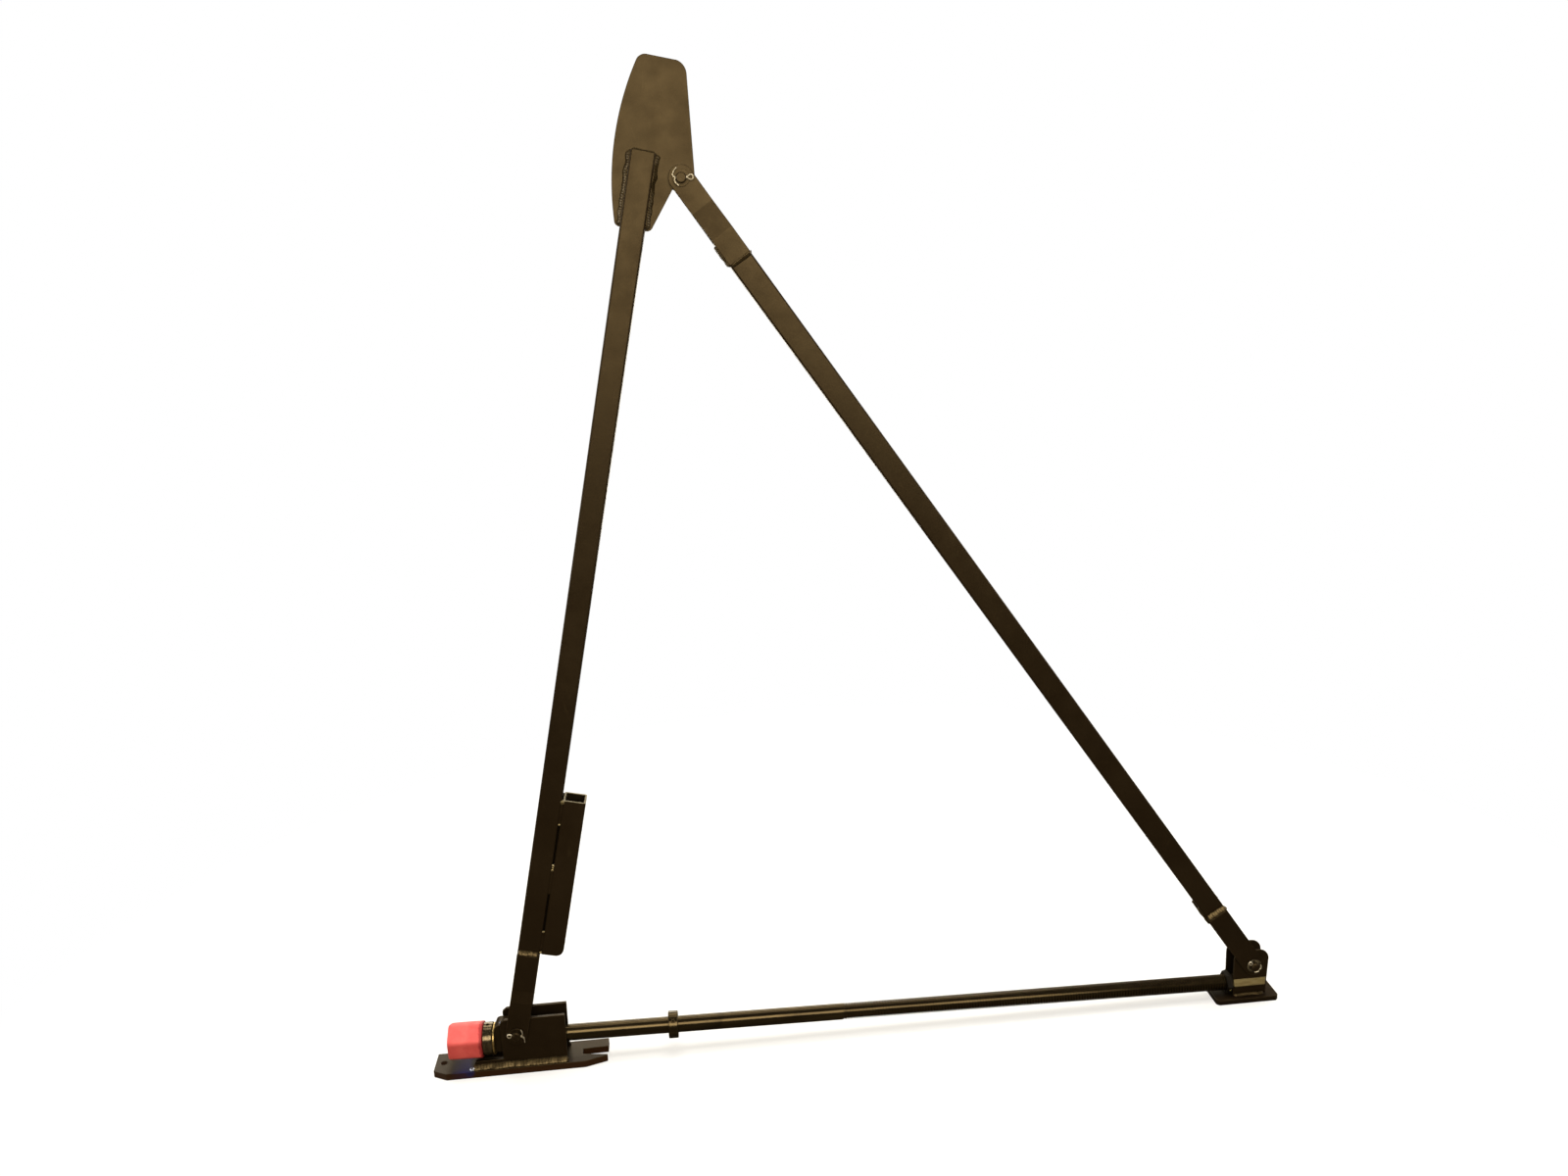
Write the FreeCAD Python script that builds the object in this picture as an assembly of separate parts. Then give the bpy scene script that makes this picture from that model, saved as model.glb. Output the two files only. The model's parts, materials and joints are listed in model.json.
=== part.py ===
import FreeCAD, Part
import math
import os

# Screw-driven A-frame jack for trailer tongues and frames, in millimetres.
# Frame: X along the floor from the drive foot (left) to the nut foot (right),
# Y away from the front, Z up. The origin is on the floor under the mast pivot.

V = FreeCAD.Vector
Y_AXIS = V(0, 1, 0)
X_AXIS = V(1, 0, 0)

# ---- stock ----
TUBE = 38.1            # square tube, 1.5 in
WALL = 3.2             # its wall
STRAP_W = 38.1         # flat strap width
STRAP_T = 6.35         # flat strap thickness
PIN_R = 7.94           # 5/8 in hinge pins
RUN = 0.06             # radial clearance of a running fit
FIT = 0.03             # radial clearance of a fixed pin in its hole

# ---- frame triangle at rest ----
MAST_PIVOT = V(0, 0, 76.2)
BRACE_PIVOT = V(1335.5, 0, 72.5)
MAST_LEAN = 13.17      # deg from vertical, towards the nut foot
APEX_U = 1470.1        # apex pin along the mast, from its pivot
APEX_V = 60.9          # and to the right of the mast's centreline

# ---- screw ----
SCREW_R = 14.29        # 1 1/8 in screw
JOURNAL_R = 9.525      # turned end inside the bracket
SCREW_DROP = 21.8      # screw axis below the mast pivot, square to the axis
SCREW_TILT = 1.2008    # deg, down towards the nut foot
SCREW_END = 1350.0     # right end along the axis
SHOULDER = 25.8        # where the journal becomes the full shaft
THREAD_START = 581.0   # smooth shaft before, thread after

# ---- drive foot ----
DF_X0, DF_X1 = -153.5, 153.0
DF_HALF, DF_T = 31.75, 12.7
SIDE_OUT, SIDE_IN = 22.0, 16.0
SIDE_TOP = 102.5

# ---- nut foot ----
NF_X0, NF_X1 = 1266.0, 1382.5
NF_HALF, NF_T = 31.75, 9.5
EAR_X0, EAR_X1, EAR_TOP = 1301.0, 1367.0, 98.7
EAR_IN, EAR_OUT = 14.6, 18.4
LEDGE_TOP, LEDGE_OUT = 43.0, 25.9     # wedge along the outside of each ear
NUT_X0, NUT_X1, NUT_AF = 1291.0, 1300.8, 37.0

os.makedirs("parts", exist_ok=True)


def save(name, shape):
    if len(shape.Solids) == 1:
        shape = shape.Solids[0]
    shape.exportStep("parts/%s.step" % name)
    print("%-28s valid=%s solids=%d vol=%.0f" % (name, shape.isValid(), len(shape.Solids), shape.Volume))


def box(x0, x1, y0, y1, z0, z1):
    return Part.makeBox(x1 - x0, y1 - y0, z1 - z0, V(x0, y0, z0))


def prism_y(pts, y0, y1):
    """Closed outline of (x, z) points, extruded from y0 to y1."""
    wire = Part.makePolygon([V(x, y0, z) for x, z in pts] + [V(pts[0][0], y0, pts[0][1])])
    return Part.Face(wire).extrude(V(0, y1 - y0, 0))


def prism_x(pts, x0, x1):
    """Closed outline of (y, z) points, extruded from x0 to x1."""
    wire = Part.makePolygon([V(x0, y, z) for y, z in pts] + [V(x0, pts[0][0], pts[0][1])])
    return Part.Face(wire).extrude(V(x1 - x0, 0, 0))


def cyl_y(r, y0, y1, x=0.0, z=0.0):
    return Part.makeCylinder(r, y1 - y0, V(x, y0, z), Y_AXIS)


def cyl_x(r, x0, x1, y=0.0, z=0.0):
    return Part.makeCylinder(r, x1 - x0, V(x0, y, z), X_AXIS)


def hexagon_x(af, x0, x1, corner_deg, y=0.0, z=0.0):
    """Hexagonal bar along X. corner_deg turns one corner up from the front (-Y)."""
    r = af / math.sqrt(3.0)
    pts = []
    for k in range(6):
        a = math.radians(corner_deg + 60.0 * k)
        pts.append((y - r * math.cos(a), z + r * math.sin(a)))
    return prism_x(pts, x0, x1)


def round_edges(shape, r, keep):
    """Fillets the edges whose two end points satisfy keep(a, b)."""
    edges = [e for e in shape.Edges if len(e.Vertexes) == 2 and keep(e.Vertexes[0].Point, e.Vertexes[1].Point)]
    return shape.makeFillet(r, edges) if edges else shape


def along_y(a, b):
    return abs(a.x - b.x) < 1e-4 and abs(a.z - b.z) < 1e-4


def along_x(a, b):
    return abs(a.y - b.y) < 1e-4 and abs(a.z - b.z) < 1e-4


def lean(shape, deg, pivot):
    """Turns a shape made about the origin by deg (top towards +X) and sets it on its pivot."""
    s = shape.copy()
    s.rotate(V(0, 0, 0), Y_AXIS, deg)
    s.translate(pivot)
    return s


def on_mast(shape):
    return lean(shape, MAST_LEAN, MAST_PIVOT)


def mast_point(u, v):
    a = math.radians(MAST_LEAN)
    return V(MAST_PIVOT.x + u * math.sin(a) + v * math.cos(a), 0,
             MAST_PIVOT.z + u * math.cos(a) - v * math.sin(a))


APEX = mast_point(APEX_U, APEX_V)
BRACE_LEN = APEX.distanceToPoint(BRACE_PIVOT)
BRACE_LEAN = math.degrees(math.atan2(APEX.x - BRACE_PIVOT.x, APEX.z - BRACE_PIVOT.z))


def on_brace(shape):
    return lean(shape, BRACE_LEAN, BRACE_PIVOT)


def on_screw(shape):
    """Screw parts are made with the axis on local X, below the mast pivot."""
    return lean(shape, SCREW_TILT, MAST_PIVOT)


# ---- repeated details ----

BEND_R = 7.0           # at the joggles of the straps


def strap(z_end, y_pivot, y_tube, bend0, bend1, side):
    """Flat strap with a round end about the origin, running up local Z to z_end.

    Its inner face is y_pivot from the middle at the pin and y_tube at the tube, with
    a joggle from bend0 to bend1, or none. side is -1 for the front, +1 for the rear.
    """
    a, b, t = y_pivot, y_tube, STRAP_T
    half = STRAP_W / 2.0
    bends = bend1 > bend0
    pts = [(a, -half), (a + t, -half)]
    if bends:
        pts += [(a + t, bend0), (b + t, bend1)]
    pts += [(b + t, z_end), (b, z_end)]
    if bends:
        pts += [(b, bend1), (a, bend0)]
    pts = [(side * y, z) for y, z in pts]
    body = prism_x(pts, -half, half)
    if bends:
        body = round_edges(body, BEND_R,
                           lambda p, q: along_x(p, q) and (abs(p.z - bend0) < 0.1 or abs(p.z - bend1) < 0.1))
    lo, hi = (-60.0, 60.0)
    outline = cyl_y(half, lo, hi).fuse(box(-half - 1, half + 1, lo, hi, 0, z_end + 1))
    body = body.common(outline)
    return body.cut(cyl_y(PIN_R + RUN, lo, hi))


def hinge_pin(y_front, y_head):
    """Pin along Y with a low round head at the rear and a cross hole for the cotter."""
    pin = cyl_y(PIN_R, y_front, y_head)
    pin = pin.makeChamfer(1.2, [e for e in pin.Edges if e.BoundBox.YMax < y_front + 0.01])
    head = cyl_y(12.5, y_head, y_head + 5.0)
    head = head.makeChamfer(1.2, [e for e in head.Edges if e.BoundBox.YMin > y_head + 4.9 and len(e.Vertexes) == 1])
    hole = cyl_x(2.1, -20, 20, y_front + 4.2, 0)
    return pin.fuse(head).removeSplitter().cut(hole)


def washer_y(y0, y1, r_out, r_in):
    w = cyl_y(r_out, y0, y1).cut(cyl_y(r_in, y0 - 1, y1 + 1))
    return w


def cotter(y, turn, splay):
    """Split pin lying along local X through a hinge pin's end: eye at one side, legs at the other."""
    r = 1.9
    shank = cyl_x(r, -10.5, 9.5)
    eye = Part.makeTorus(3.9, r, V(-13.9, 0, 0), V(0, 1, 0))
    body = shank.fuse(eye)
    for s in (-1, 1):
        a = math.radians(splay) * s
        leg = Part.makeCylinder(r * 0.8, 11.0, V(8.6, 0, 0), V(math.cos(a), 0, math.sin(a)))
        body = body.fuse(leg)
    body = body.removeSplitter()
    body.rotate(V(0, 0, 0), Y_AXIS, turn)
    body.translate(V(0, y, 0))
    return body


def bead_on_plate(x0, x1, y_wall, z, leg, side):
    """Fillet weld along X where an upright wall meets a plate; side points away from the wall."""
    pts = [(y_wall, z), (y_wall + side * leg, z)]
    for k in (1, 2, 3):
        a = math.radians(22.5 * k)
        pts.append((y_wall + side * leg * 0.9 * math.cos(a), z + leg * 0.9 * math.sin(a)))
    pts.append((y_wall, z + leg))
    return prism_x(pts, x0, x1)


def bead_across(x0, x1, y0, y1, z0, z1):
    """Low weld bead across a strap end, softened on its long edges."""
    b = box(x0, x1, y0, y1, z0, z1)
    return round_edges(b, min(abs(y1 - y0), abs(z1 - z0)) * 0.3, along_x)


# ---- drive foot ----

def drive_foot_plate():
    h = DF_HALF
    pts = [(DF_X0, h), (DF_X1, h), (DF_X1, -h + 12.0), (DF_X1 - 38.5, -h), (DF_X0 + 24.0, -h), (DF_X0, -h + 13.5)]
    wire = Part.makePolygon([V(x, y, 0) for x, y in pts] + [V(pts[0][0], pts[0][1], 0)])
    plate = Part.Face(wire).extrude(V(0, 0, DF_T))
    hole = Part.makeCylinder(5.6, DF_T + 2, V(-138.5, 3.0, -1))
    mouth = [(108.5, -9.0), (DF_X1 + 1, -16.7), (DF_X1 + 1, 7.0), (108.5, 5.4)]
    outline = Part.makePolygon([V(x, y, -1) for x, y in mouth + mouth[:1]])
    slot = Part.Face(outline).extrude(V(0, 0, DF_T + 2))
    return plate.cut(hole).cut(slot)


def drive_foot_side(side):
    """Bracket wall: a tall part round the pivot and a low tail under the hub."""
    pts = [(-80.0, DF_T), (83.0, DF_T), (85.5, SIDE_TOP), (-21.0, SIDE_TOP), (-28.5, SIDE_TOP - 6.0),
           (-28.5, 26.0), (-80.0, 26.0)]
    y0, y1 = sorted((side * SIDE_IN, side * SIDE_OUT))
    wall = prism_y(pts, y0, y1)
    wall = round_edges(wall, 3.0, lambda p, q: along_y(p, q) and p.x < -20 and p.z > SIDE_TOP - 7)
    wall = round_edges(wall, 6.0, lambda p, q: along_y(p, q) and p.x < -79 and p.z > 25)
    return wall.cut(cyl_y(PIN_R + FIT, y0 - 1, y1 + 1, 0, MAST_PIVOT.z))


def drive_foot_welds():
    beads = []
    for side in (-1, 1):
        beads.append(bead_on_plate(-83.0, 84.5, side * SIDE_OUT, DF_T, 9.3, side))
    return Part.makeCompound(beads)


MAST_PIN_Y = -37.2     # front end of the mast pivot pin
BRACE_PIN_Y = -33.7    # front end of the brace foot pin
APEX_PIN_Y = -23.0     # front end of the apex pin
MAST_COTTER, BRACE_COTTER, APEX_COTTER = 6.0, 40.0, 180.0   # how far each cotter is turned, deg


def mast_pivot_pin():
    return lean(hinge_pin(MAST_PIN_Y, 31.0), MAST_COTTER, MAST_PIVOT)


def brace_foot_pin():
    return lean(hinge_pin(BRACE_PIN_Y, 27.5), BRACE_COTTER, BRACE_PIVOT)


def apex_pin():
    return lean(hinge_pin(APEX_PIN_Y, 14.4), 0, APEX)


# ---- screw group, on the screw's own axis below the mast pivot ----

Z_SCREW = -SCREW_DROP


def thrust_block():
    """Bearing block between the bracket walls. It hangs on the mast pivot and carries the journal."""
    b = box(-40.5, 22.0, -15.4, 15.4, -40.0, 12.3)
    b = round_edges(b, 9.0, lambda p, q: along_y(p, q) and p.x < -40 and p.z > 12)
    b = round_edges(b, 3.0, lambda p, q: along_y(p, q) and (p.x > 21 or p.z < -39))
    b = b.cut(cyl_y(PIN_R + RUN, -20, 20))
    b = b.cut(cyl_x(JOURNAL_R + 2.5, -42, -14, 0, Z_SCREW))
    b = b.cut(cyl_x(JOURNAL_R + RUN, -16, 24, 0, Z_SCREW))
    return on_screw(b)


def journal_bush():
    b = cyl_x(JOURNAL_R + 2.48, -40.3, -14.2, 0, Z_SCREW).cut(cyl_x(JOURNAL_R + RUN, -42, -12, 0, Z_SCREW))
    return on_screw(b)


def thrust_washer():
    w = cyl_x(15.0, 22.05, 25.3, 0, Z_SCREW).cut(cyl_x(JOURNAL_R + 0.4, 20, 28, 0, Z_SCREW))
    return on_screw(w)


def drive_screw():
    shaft = cyl_x(SCREW_R, SHOULDER, SCREW_END, 0, Z_SCREW)
    shaft = shaft.makeChamfer(2.5, [e for e in shaft.Edges if e.BoundBox.XMin > SCREW_END - 0.01])
    journal = cyl_x(JOURNAL_R, -114.0, SHOULDER + 0.5, 0, Z_SCREW)
    body = shaft.fuse(journal).removeSplitter()
    body = body.cut(Part.makeCylinder(3.03, 60, V(-54.0, 0, Z_SCREW - 30), V(0, 0, 1)))
    return on_screw(body)


def stop_collar():
    c = cyl_x(23.5, 265.0, 282.2, 0, Z_SCREW)
    c = c.makeChamfer(0.9, [e for e in c.Edges if len(e.Vertexes) == 1])
    c = c.cut(cyl_x(SCREW_R + FIT, 260, 290, 0, Z_SCREW))
    d = V(0, -math.cos(math.radians(48)), math.sin(math.radians(48)))
    c = c.cut(Part.makeCylinder(4.0, 40, V(273.6, 0, Z_SCREW), d))
    return on_screw(c)


def collar_set_screw():
    """Socket set screw, a little below the collar's rim."""
    d = V(0, -math.cos(math.radians(48)), math.sin(math.radians(48)))
    start = V(273.6, 0, Z_SCREW) + d * (SCREW_R + 0.1)
    s = Part.makeCylinder(3.9, 7.7, start, d)
    hexa = []
    e1 = V(1, 0, 0)
    e2 = d.cross(e1)
    top = V(273.6, 0, Z_SCREW) + d * (SCREW_R + 4.6)
    for k in range(7):
        a = math.radians(60 * k)
        hexa.append(top + e1 * (2.3 * math.cos(a)) + e2 * (2.3 * math.sin(a)))
    socket = Part.Face(Part.makePolygon(hexa)).extrude(d * 8)
    return on_screw(s.cut(socket))


def drive_hub():
    """Round hub that turns the screw, with a hexagonal drive end inside the cap."""
    rim = cyl_x(28.4, -62.0, -44.4, 0, Z_SCREW)
    rim = rim.makeChamfer(1.6, [e for e in rim.Edges if len(e.Vertexes) == 1])
    nose = hexagon_x(44.0, -113.5, -61.5, 25.0, 0, Z_SCREW)
    hub = rim.fuse(nose).removeSplitter()
    hub = hub.cut(cyl_x(JOURNAL_R + FIT, -130, -30, 0, Z_SCREW))
    hub = hub.cut(Part.makeCylinder(3.03, 80, V(-54.0, 0, Z_SCREW - 40), V(0, 0, 1)))
    return on_screw(hub)


def hub_pin():
    """Spring pin through the hub and the journal."""
    p = Part.makeCylinder(3.0, 47.0, V(-54.0, 0, Z_SCREW - 23.5), V(0, 0, 1))
    p = p.cut(Part.makeCylinder(1.3, 60.0, V(-54.0, 0, Z_SCREW - 30), V(0, 0, 1)))
    return on_screw(p)


def hub_washer():
    w = cyl_x(27.4, -44.35, -40.9, 0, Z_SCREW)
    w = w.makeChamfer(0.7, [e for e in w.Edges if len(e.Vertexes) == 1])
    return on_screw(w.cut(cyl_x(JOURNAL_R + 0.2, -50, -30, 0, Z_SCREW)))


def hub_cap():
    """Moulded cover pushed over the hub's hexagonal end."""
    x0, x1 = -121.8, -62.1
    outer = hexagon_x(60.2, x0, x1, 25.0, 0, Z_SCREW)
    outer = round_edges(outer, 13.0, along_x)
    ends = [e for e in outer.Edges if abs(e.BoundBox.XMin - x0) < 0.01 and abs(e.BoundBox.XMax - x0) < 0.01]
    outer = outer.makeFillet(3.0, ends)
    inner = hexagon_x(44.1, -114.8, x1 + 1, 25.0, 0, Z_SCREW)
    return on_screw(outer.cut(inner))


# ---- nut foot ----

def nut_foot_plate():
    """Flat plate with its corners taken off: small cuts at the screw's end, larger ones at the other."""
    small, large = 5.0, 5.5
    h = NF_HALF
    pts = [(NF_X0 + small, -h), (NF_X1 - large, -h), (NF_X1, -h + large), (NF_X1, h - large), (NF_X1 - large, h),
           (NF_X0 + small, h), (NF_X0, h - small), (NF_X0, -h + small)]
    wire = Part.makePolygon([V(x, y, 0) for x, y in pts] + [V(pts[0][0], pts[0][1], 0)])
    plate = Part.Face(wire).extrude(V(0, 0, NF_T))
    return round_edges(plate, 4.0, lambda p, q: abs(p.x - q.x) < 1e-4 and abs(p.y - q.y) < 1e-4)


def nut_foot_ear(side):
    """Upright lug, a little wider at its rounded top than at its foot."""
    pts = [(EAR_X0, NF_T), (EAR_X1 - 5.0, NF_T), (EAR_X1, EAR_TOP), (EAR_X0, EAR_TOP)]
    y0, y1 = sorted((side * EAR_IN, side * EAR_OUT))
    ear = prism_y(pts, y0, y1)
    ear = round_edges(ear, 18.0, lambda p, q: along_y(p, q) and p.z > EAR_TOP - 0.1)
    return ear.cut(cyl_y(PIN_R + FIT, y0 - 1, y1 + 1, BRACE_PIVOT.x, BRACE_PIVOT.z))


def nut_foot_ledge(side):
    """Wedge-shaped bar welded along the outside of an ear: steep outer face, flat underside."""
    profile = [(EAR_OUT, LEDGE_TOP), (LEDGE_OUT, 33.0), (LEDGE_OUT - 0.6, 31.0), (EAR_OUT, 31.0)]
    bar = prism_x([(side * y, z) for y, z in profile], 1301.0, 1361.5)
    end_cut = prism_y([(1361.6, 43.2), (1362.0, 43.2), (1362.0, 28.0), (1355.5, 28.0)], -40, 40)
    return bar.cut(end_cut)


def drive_nut():
    a = math.radians(SCREW_TILT)
    zc = MAST_PIVOT.z - SCREW_DROP * math.cos(a) - (0.5 * (NUT_X0 + NUT_X1)) * math.sin(a)
    nut = hexagon_x(NUT_AF, NUT_X0, NUT_X1, 0.0, 0, zc)
    cone = Part.makeCone(19.4, 24.8, 5.4, V(NUT_X0, 0, zc), X_AXIS)
    nut = nut.common(cone.fuse(cyl_x(24.8, NUT_X0 + 5.4, NUT_X1, 0, zc)))
    bore = cyl_x(SCREW_R + 0.7, -30, 30)
    bore.rotate(V(0, 0, 0), Y_AXIS, SCREW_TILT)
    bore.translate(V(0.5 * (NUT_X0 + NUT_X1), 0, zc))
    nut = nut.cut(bore)
    return nut.cut(box(1200, 1400, -50, 50, -50, NF_T + 0.01))


def nut_foot_welds():
    beads = []
    for side in (-1, 1):
        beads.append(bead_on_plate(EAR_X0 + 1, EAR_X1 - 8, side * EAR_OUT, NF_T, 5.0, side))
    return Part.makeCompound(beads)


# ---- mast ----

MAST_TUBE_0, MAST_TUBE_1 = 95.0, 1497.0
PLATE_T = 9.5
PLATE_BOTTOM = 1384.0


def square_tube(z0, z1, x=0.0):
    h = TUBE / 2.0
    def shell(half, r, a, b):
        s = box(x - half, x + half, -half, half, a, b)
        return round_edges(s, r, lambda p, q: abs(p.x - q.x) < 1e-4 and abs(p.y - q.y) < 1e-4)
    return shell(h, 3.5, z0, z1).cut(shell(h - WALL, 1.2, z0 - 1, z1 + 1))


def mast_tube():
    tube = square_tube(MAST_TUBE_0, MAST_TUBE_1)
    slot = box(-40, 40, -PLATE_T / 2 - 0.1, PLATE_T / 2 + 0.1, PLATE_BOTTOM - 0.3, MAST_TUBE_1 + 1)
    return on_mast(tube.cut(slot))


def top_plate():
    """Flat head plate set in the slotted top of the mast, with the brace's eye at its right."""
    y0, y1 = -PLATE_T / 2, PLATE_T / 2
    pr = 21.0
    p = lambda v, u: V(v, y0, u)
    top, bot = 1633.0, PLATE_BOTTOM
    edges = []
    edges.append(Part.makeLine(p(-14, top), p(29, top)))
    edges.append(Part.Arc(p(29, top), p(41.5, top - 7.0), p(46.5, top - 17.0)).toShape())
    # down the right side to the round boss about the apex pin
    t_r = p(APEX_V + pr - 0.6, APEX_U + 5.0)
    edges.append(Part.makeLine(p(46.5, top - 17.0), t_r))
    a0, a1 = -118.0, 0.0
    mid = p(APEX_V + pr * math.cos(math.radians(-60)), APEX_U + pr * math.sin(math.radians(-60)))
    end = p(APEX_V + pr * math.cos(math.radians(a0)), APEX_U + pr * math.sin(math.radians(a0)))
    edges.append(Part.Arc(t_r, mid, end).toShape())
    edges.append(Part.makeLine(end, p(30.0, bot + 8.0)))
    edges.append(Part.Arc(p(30.0, bot + 8.0), p(27.0, bot + 2.6), p(21.0, bot)).toShape())
    edges.append(Part.makeLine(p(21.0, bot), p(-20.0, bot)))
    edges.append(Part.Arc(p(-20.0, bot), p(-25.8, bot + 1.8), p(-29.0, bot + 7.5)).toShape())
    edges.append(Part.Arc(p(-29.0, bot + 7.5), p(-45.2, 1500.0), p(-29.5, top - 9.5)).toShape())
    edges.append(Part.Arc(p(-29.5, top - 9.5), p(-23.0, top - 2.0), p(-14, top)).toShape())
    plate = Part.Face(Part.Wire(edges)).extrude(V(0, PLATE_T, 0))
    # the eye is oversize: the brace pin floats in it as the jack closes
    plate = plate.cut(cyl_y(12.2, y0 - 1, y1 + 1, APEX_V, APEX_U))
    return on_mast(plate)


def mast_strap(side):
    return on_mast(strap(153.0, 22.6, TUBE / 2 + 0.02, 62.0, 84.0, side))


SOCKET_V0 = TUBE / 2 + 2.2      # left face of the handle socket, beside the mast
SOCKET_0, SOCKET_1 = 156.0, 447.0


def handle_socket():
    tube = square_tube(SOCKET_0, SOCKET_1, SOCKET_V0 + TUBE / 2)
    right = SOCKET_V0 + TUBE
    # lower right corner cut to a rounded nose
    c = 13.0
    corner = box(right - c, right + 1, -30, 30, SOCKET_0 - 1, SOCKET_0 + c)
    corner = corner.cut(cyl_y(c, -31, 31, right - c, SOCKET_0 + c))
    return on_mast(tube.cut(corner))


def mast_welds():
    t = TUBE / 2
    beads = []
    for side in (-1, 1):
        ys = sorted((side * (t + 0.02), side * (t + 6.6)))
        beads.append(bead_across(-18.2, 18.2, ys[0], ys[1], 153.05, 160.5))
        # stitches between the mast and the handle socket
        for u0, u1 in ((402.0, 447.0), (270.0, 327.0), (158.0, 200.0)):
            y0, y1 = sorted((side * (t - 4.5), side * (t + 0.4)))
            beads.append(box(t + 0.02, t + 2.18, y0, y1, u0, u1))
    # fillets between the slotted mast top and the head plate
    for side in (-1, 1):
        for vs in (-1, 1):
            q = PLATE_T / 2 + 0.02
            pts = [(vs * (t + 0.02), side * q), (vs * (t + 6.5), side * q), (vs * (t + 5.0), side * (q + 4.5)),
                   (vs * (t + 0.02), side * (q + 8.0))]
            wire = Part.makePolygon([V(x, y, 1386.0) for x, y in pts] + [V(pts[0][0], pts[0][1], 1386.0)])
            beads.append(Part.Face(wire).extrude(V(0, 0, 110.0)))
    return on_mast(Part.makeCompound(beads))


# ---- brace ----

BRACE_TUBE_0 = 117.0
UPPER_END = 146.0        # upper strap's lower end, measured from the apex pin
LOWER_END = 129.0        # lower strap's upper end, measured from the brace foot pin


def flip_up(shape):
    """Turns a strap that runs up from its pin into one that runs down from the apex pin."""
    s = shape.copy()
    s.rotate(V(0, 0, 0), V(0, 1, 0), 180)
    s.translate(V(0, 0, BRACE_LEN))
    return s


def brace_tube():
    return on_brace(square_tube(BRACE_TUBE_0, BRACE_LEN - 106.0))


def brace_upper_strap(side):
    s = strap(UPPER_END, PLATE_T / 2 + 0.5, TUBE / 2 + 0.02, 52.0, 101.0, side)
    return on_brace(flip_up(s))


def brace_lower_strap(side):
    return on_brace(strap(LOWER_END, TUBE / 2 + 0.02, TUBE / 2 + 0.02, 0, 0, side))


def brace_welds():
    t = TUBE / 2
    beads = []
    for side in (-1, 1):
        ys = sorted((side * (t + 0.02), side * (t + 6.3)))
        beads.append(bead_across(-19.0, 21.5, ys[0], ys[1], LOWER_END + 0.05, LOWER_END + 9.5))
        beads.append(bead_across(-19.0, 19.0, ys[0], ys[1], BRACE_LEN - UPPER_END - 8.0, BRACE_LEN - UPPER_END - 0.05))
        # seam beads on the underside: one along the upper strap, one past the tube's lower end
        y0, y1 = sorted((side * (t - 4.5), side * (t + 4.5)))
        beads.append(box(-t - 3.6, -t - 0.02, y0, y1, BRACE_LEN - UPPER_END - 2.0, BRACE_LEN - 110.0))
        y0, y1 = sorted((side * (t - 10.0), side * (t - 2.0)))
        beads.append(box(-t - 3.8, -t - 0.02, y0, y1, BRACE_TUBE_0, BRACE_TUBE_0 + 41.0))
    return on_brace(Part.makeCompound(beads))


# ---- fasteners ----

def washers(y_in, thick, pivot, r_in):
    """One washer in front of the joint and one under the pin's head."""
    front = washer_y(-y_in - thick, -y_in, 13.0, r_in)
    rear = washer_y(y_in, y_in + thick, 13.0, r_in)
    return lean(Part.makeCompound([front, rear]), 0, pivot)


def main():
    save("drive_foot_plate", drive_foot_plate())
    save("drive_foot_side_front", drive_foot_side(-1))
    save("drive_foot_side_rear", drive_foot_side(1))
    save("drive_foot_welds", drive_foot_welds())
    save("mast_pivot_pin", mast_pivot_pin())
    save("mast_pivot_washers", washers(29.2, 1.7, MAST_PIVOT, PIN_R + FIT))
    save("mast_pivot_cotter", lean(cotter(MAST_PIN_Y + 4.2, MAST_COTTER, 46.0), 0, MAST_PIVOT))

    save("thrust_block", thrust_block())
    save("journal_bush", journal_bush())
    save("thrust_washer", thrust_washer())
    save("drive_screw", drive_screw())
    save("stop_collar", stop_collar())
    save("collar_set_screw", collar_set_screw())
    save("drive_hub", drive_hub())
    save("hub_pin", hub_pin())
    save("hub_washer", hub_washer())
    save("hub_cap", hub_cap())

    save("nut_foot_plate", nut_foot_plate())
    save("nut_foot_ear_front", nut_foot_ear(-1))
    save("nut_foot_ear_rear", nut_foot_ear(1))
    save("nut_foot_ledge_front", nut_foot_ledge(-1))
    save("nut_foot_ledge_rear", nut_foot_ledge(1))
    save("drive_nut", drive_nut())
    save("nut_foot_welds", nut_foot_welds())
    save("brace_foot_pin", brace_foot_pin())
    save("brace_foot_washers", washers(25.7, 1.7, BRACE_PIVOT, PIN_R + FIT))
    save("brace_foot_cotter", lean(cotter(BRACE_PIN_Y + 4.2, BRACE_COTTER, 46.0), 0, BRACE_PIVOT))

    save("mast_tube", mast_tube())
    save("top_plate", top_plate())
    save("mast_strap_front", mast_strap(-1))
    save("mast_strap_rear", mast_strap(1))
    save("handle_socket", handle_socket())
    save("mast_welds", mast_welds())

    save("brace_tube", brace_tube())
    save("brace_upper_strap_front", brace_upper_strap(-1))
    save("brace_upper_strap_rear", brace_upper_strap(1))
    save("brace_lower_strap_front", brace_lower_strap(-1))
    save("brace_lower_strap_rear", brace_lower_strap(1))
    save("brace_welds", brace_welds())
    save("apex_pin", apex_pin())
    save("apex_pin_washers", washers(11.65, 2.6, APEX, PIN_R + FIT))
    save("apex_pin_cotter", lean(cotter(APEX_PIN_Y + 4.2, APEX_COTTER, 55.0), 0, APEX))

    print("apex", APEX, "brace length", BRACE_LEN, "brace lean", BRACE_LEAN)


main()
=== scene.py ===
import json
import math
import random

import bmesh
import bpy
from mathutils import Matrix, Vector, noise


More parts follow.
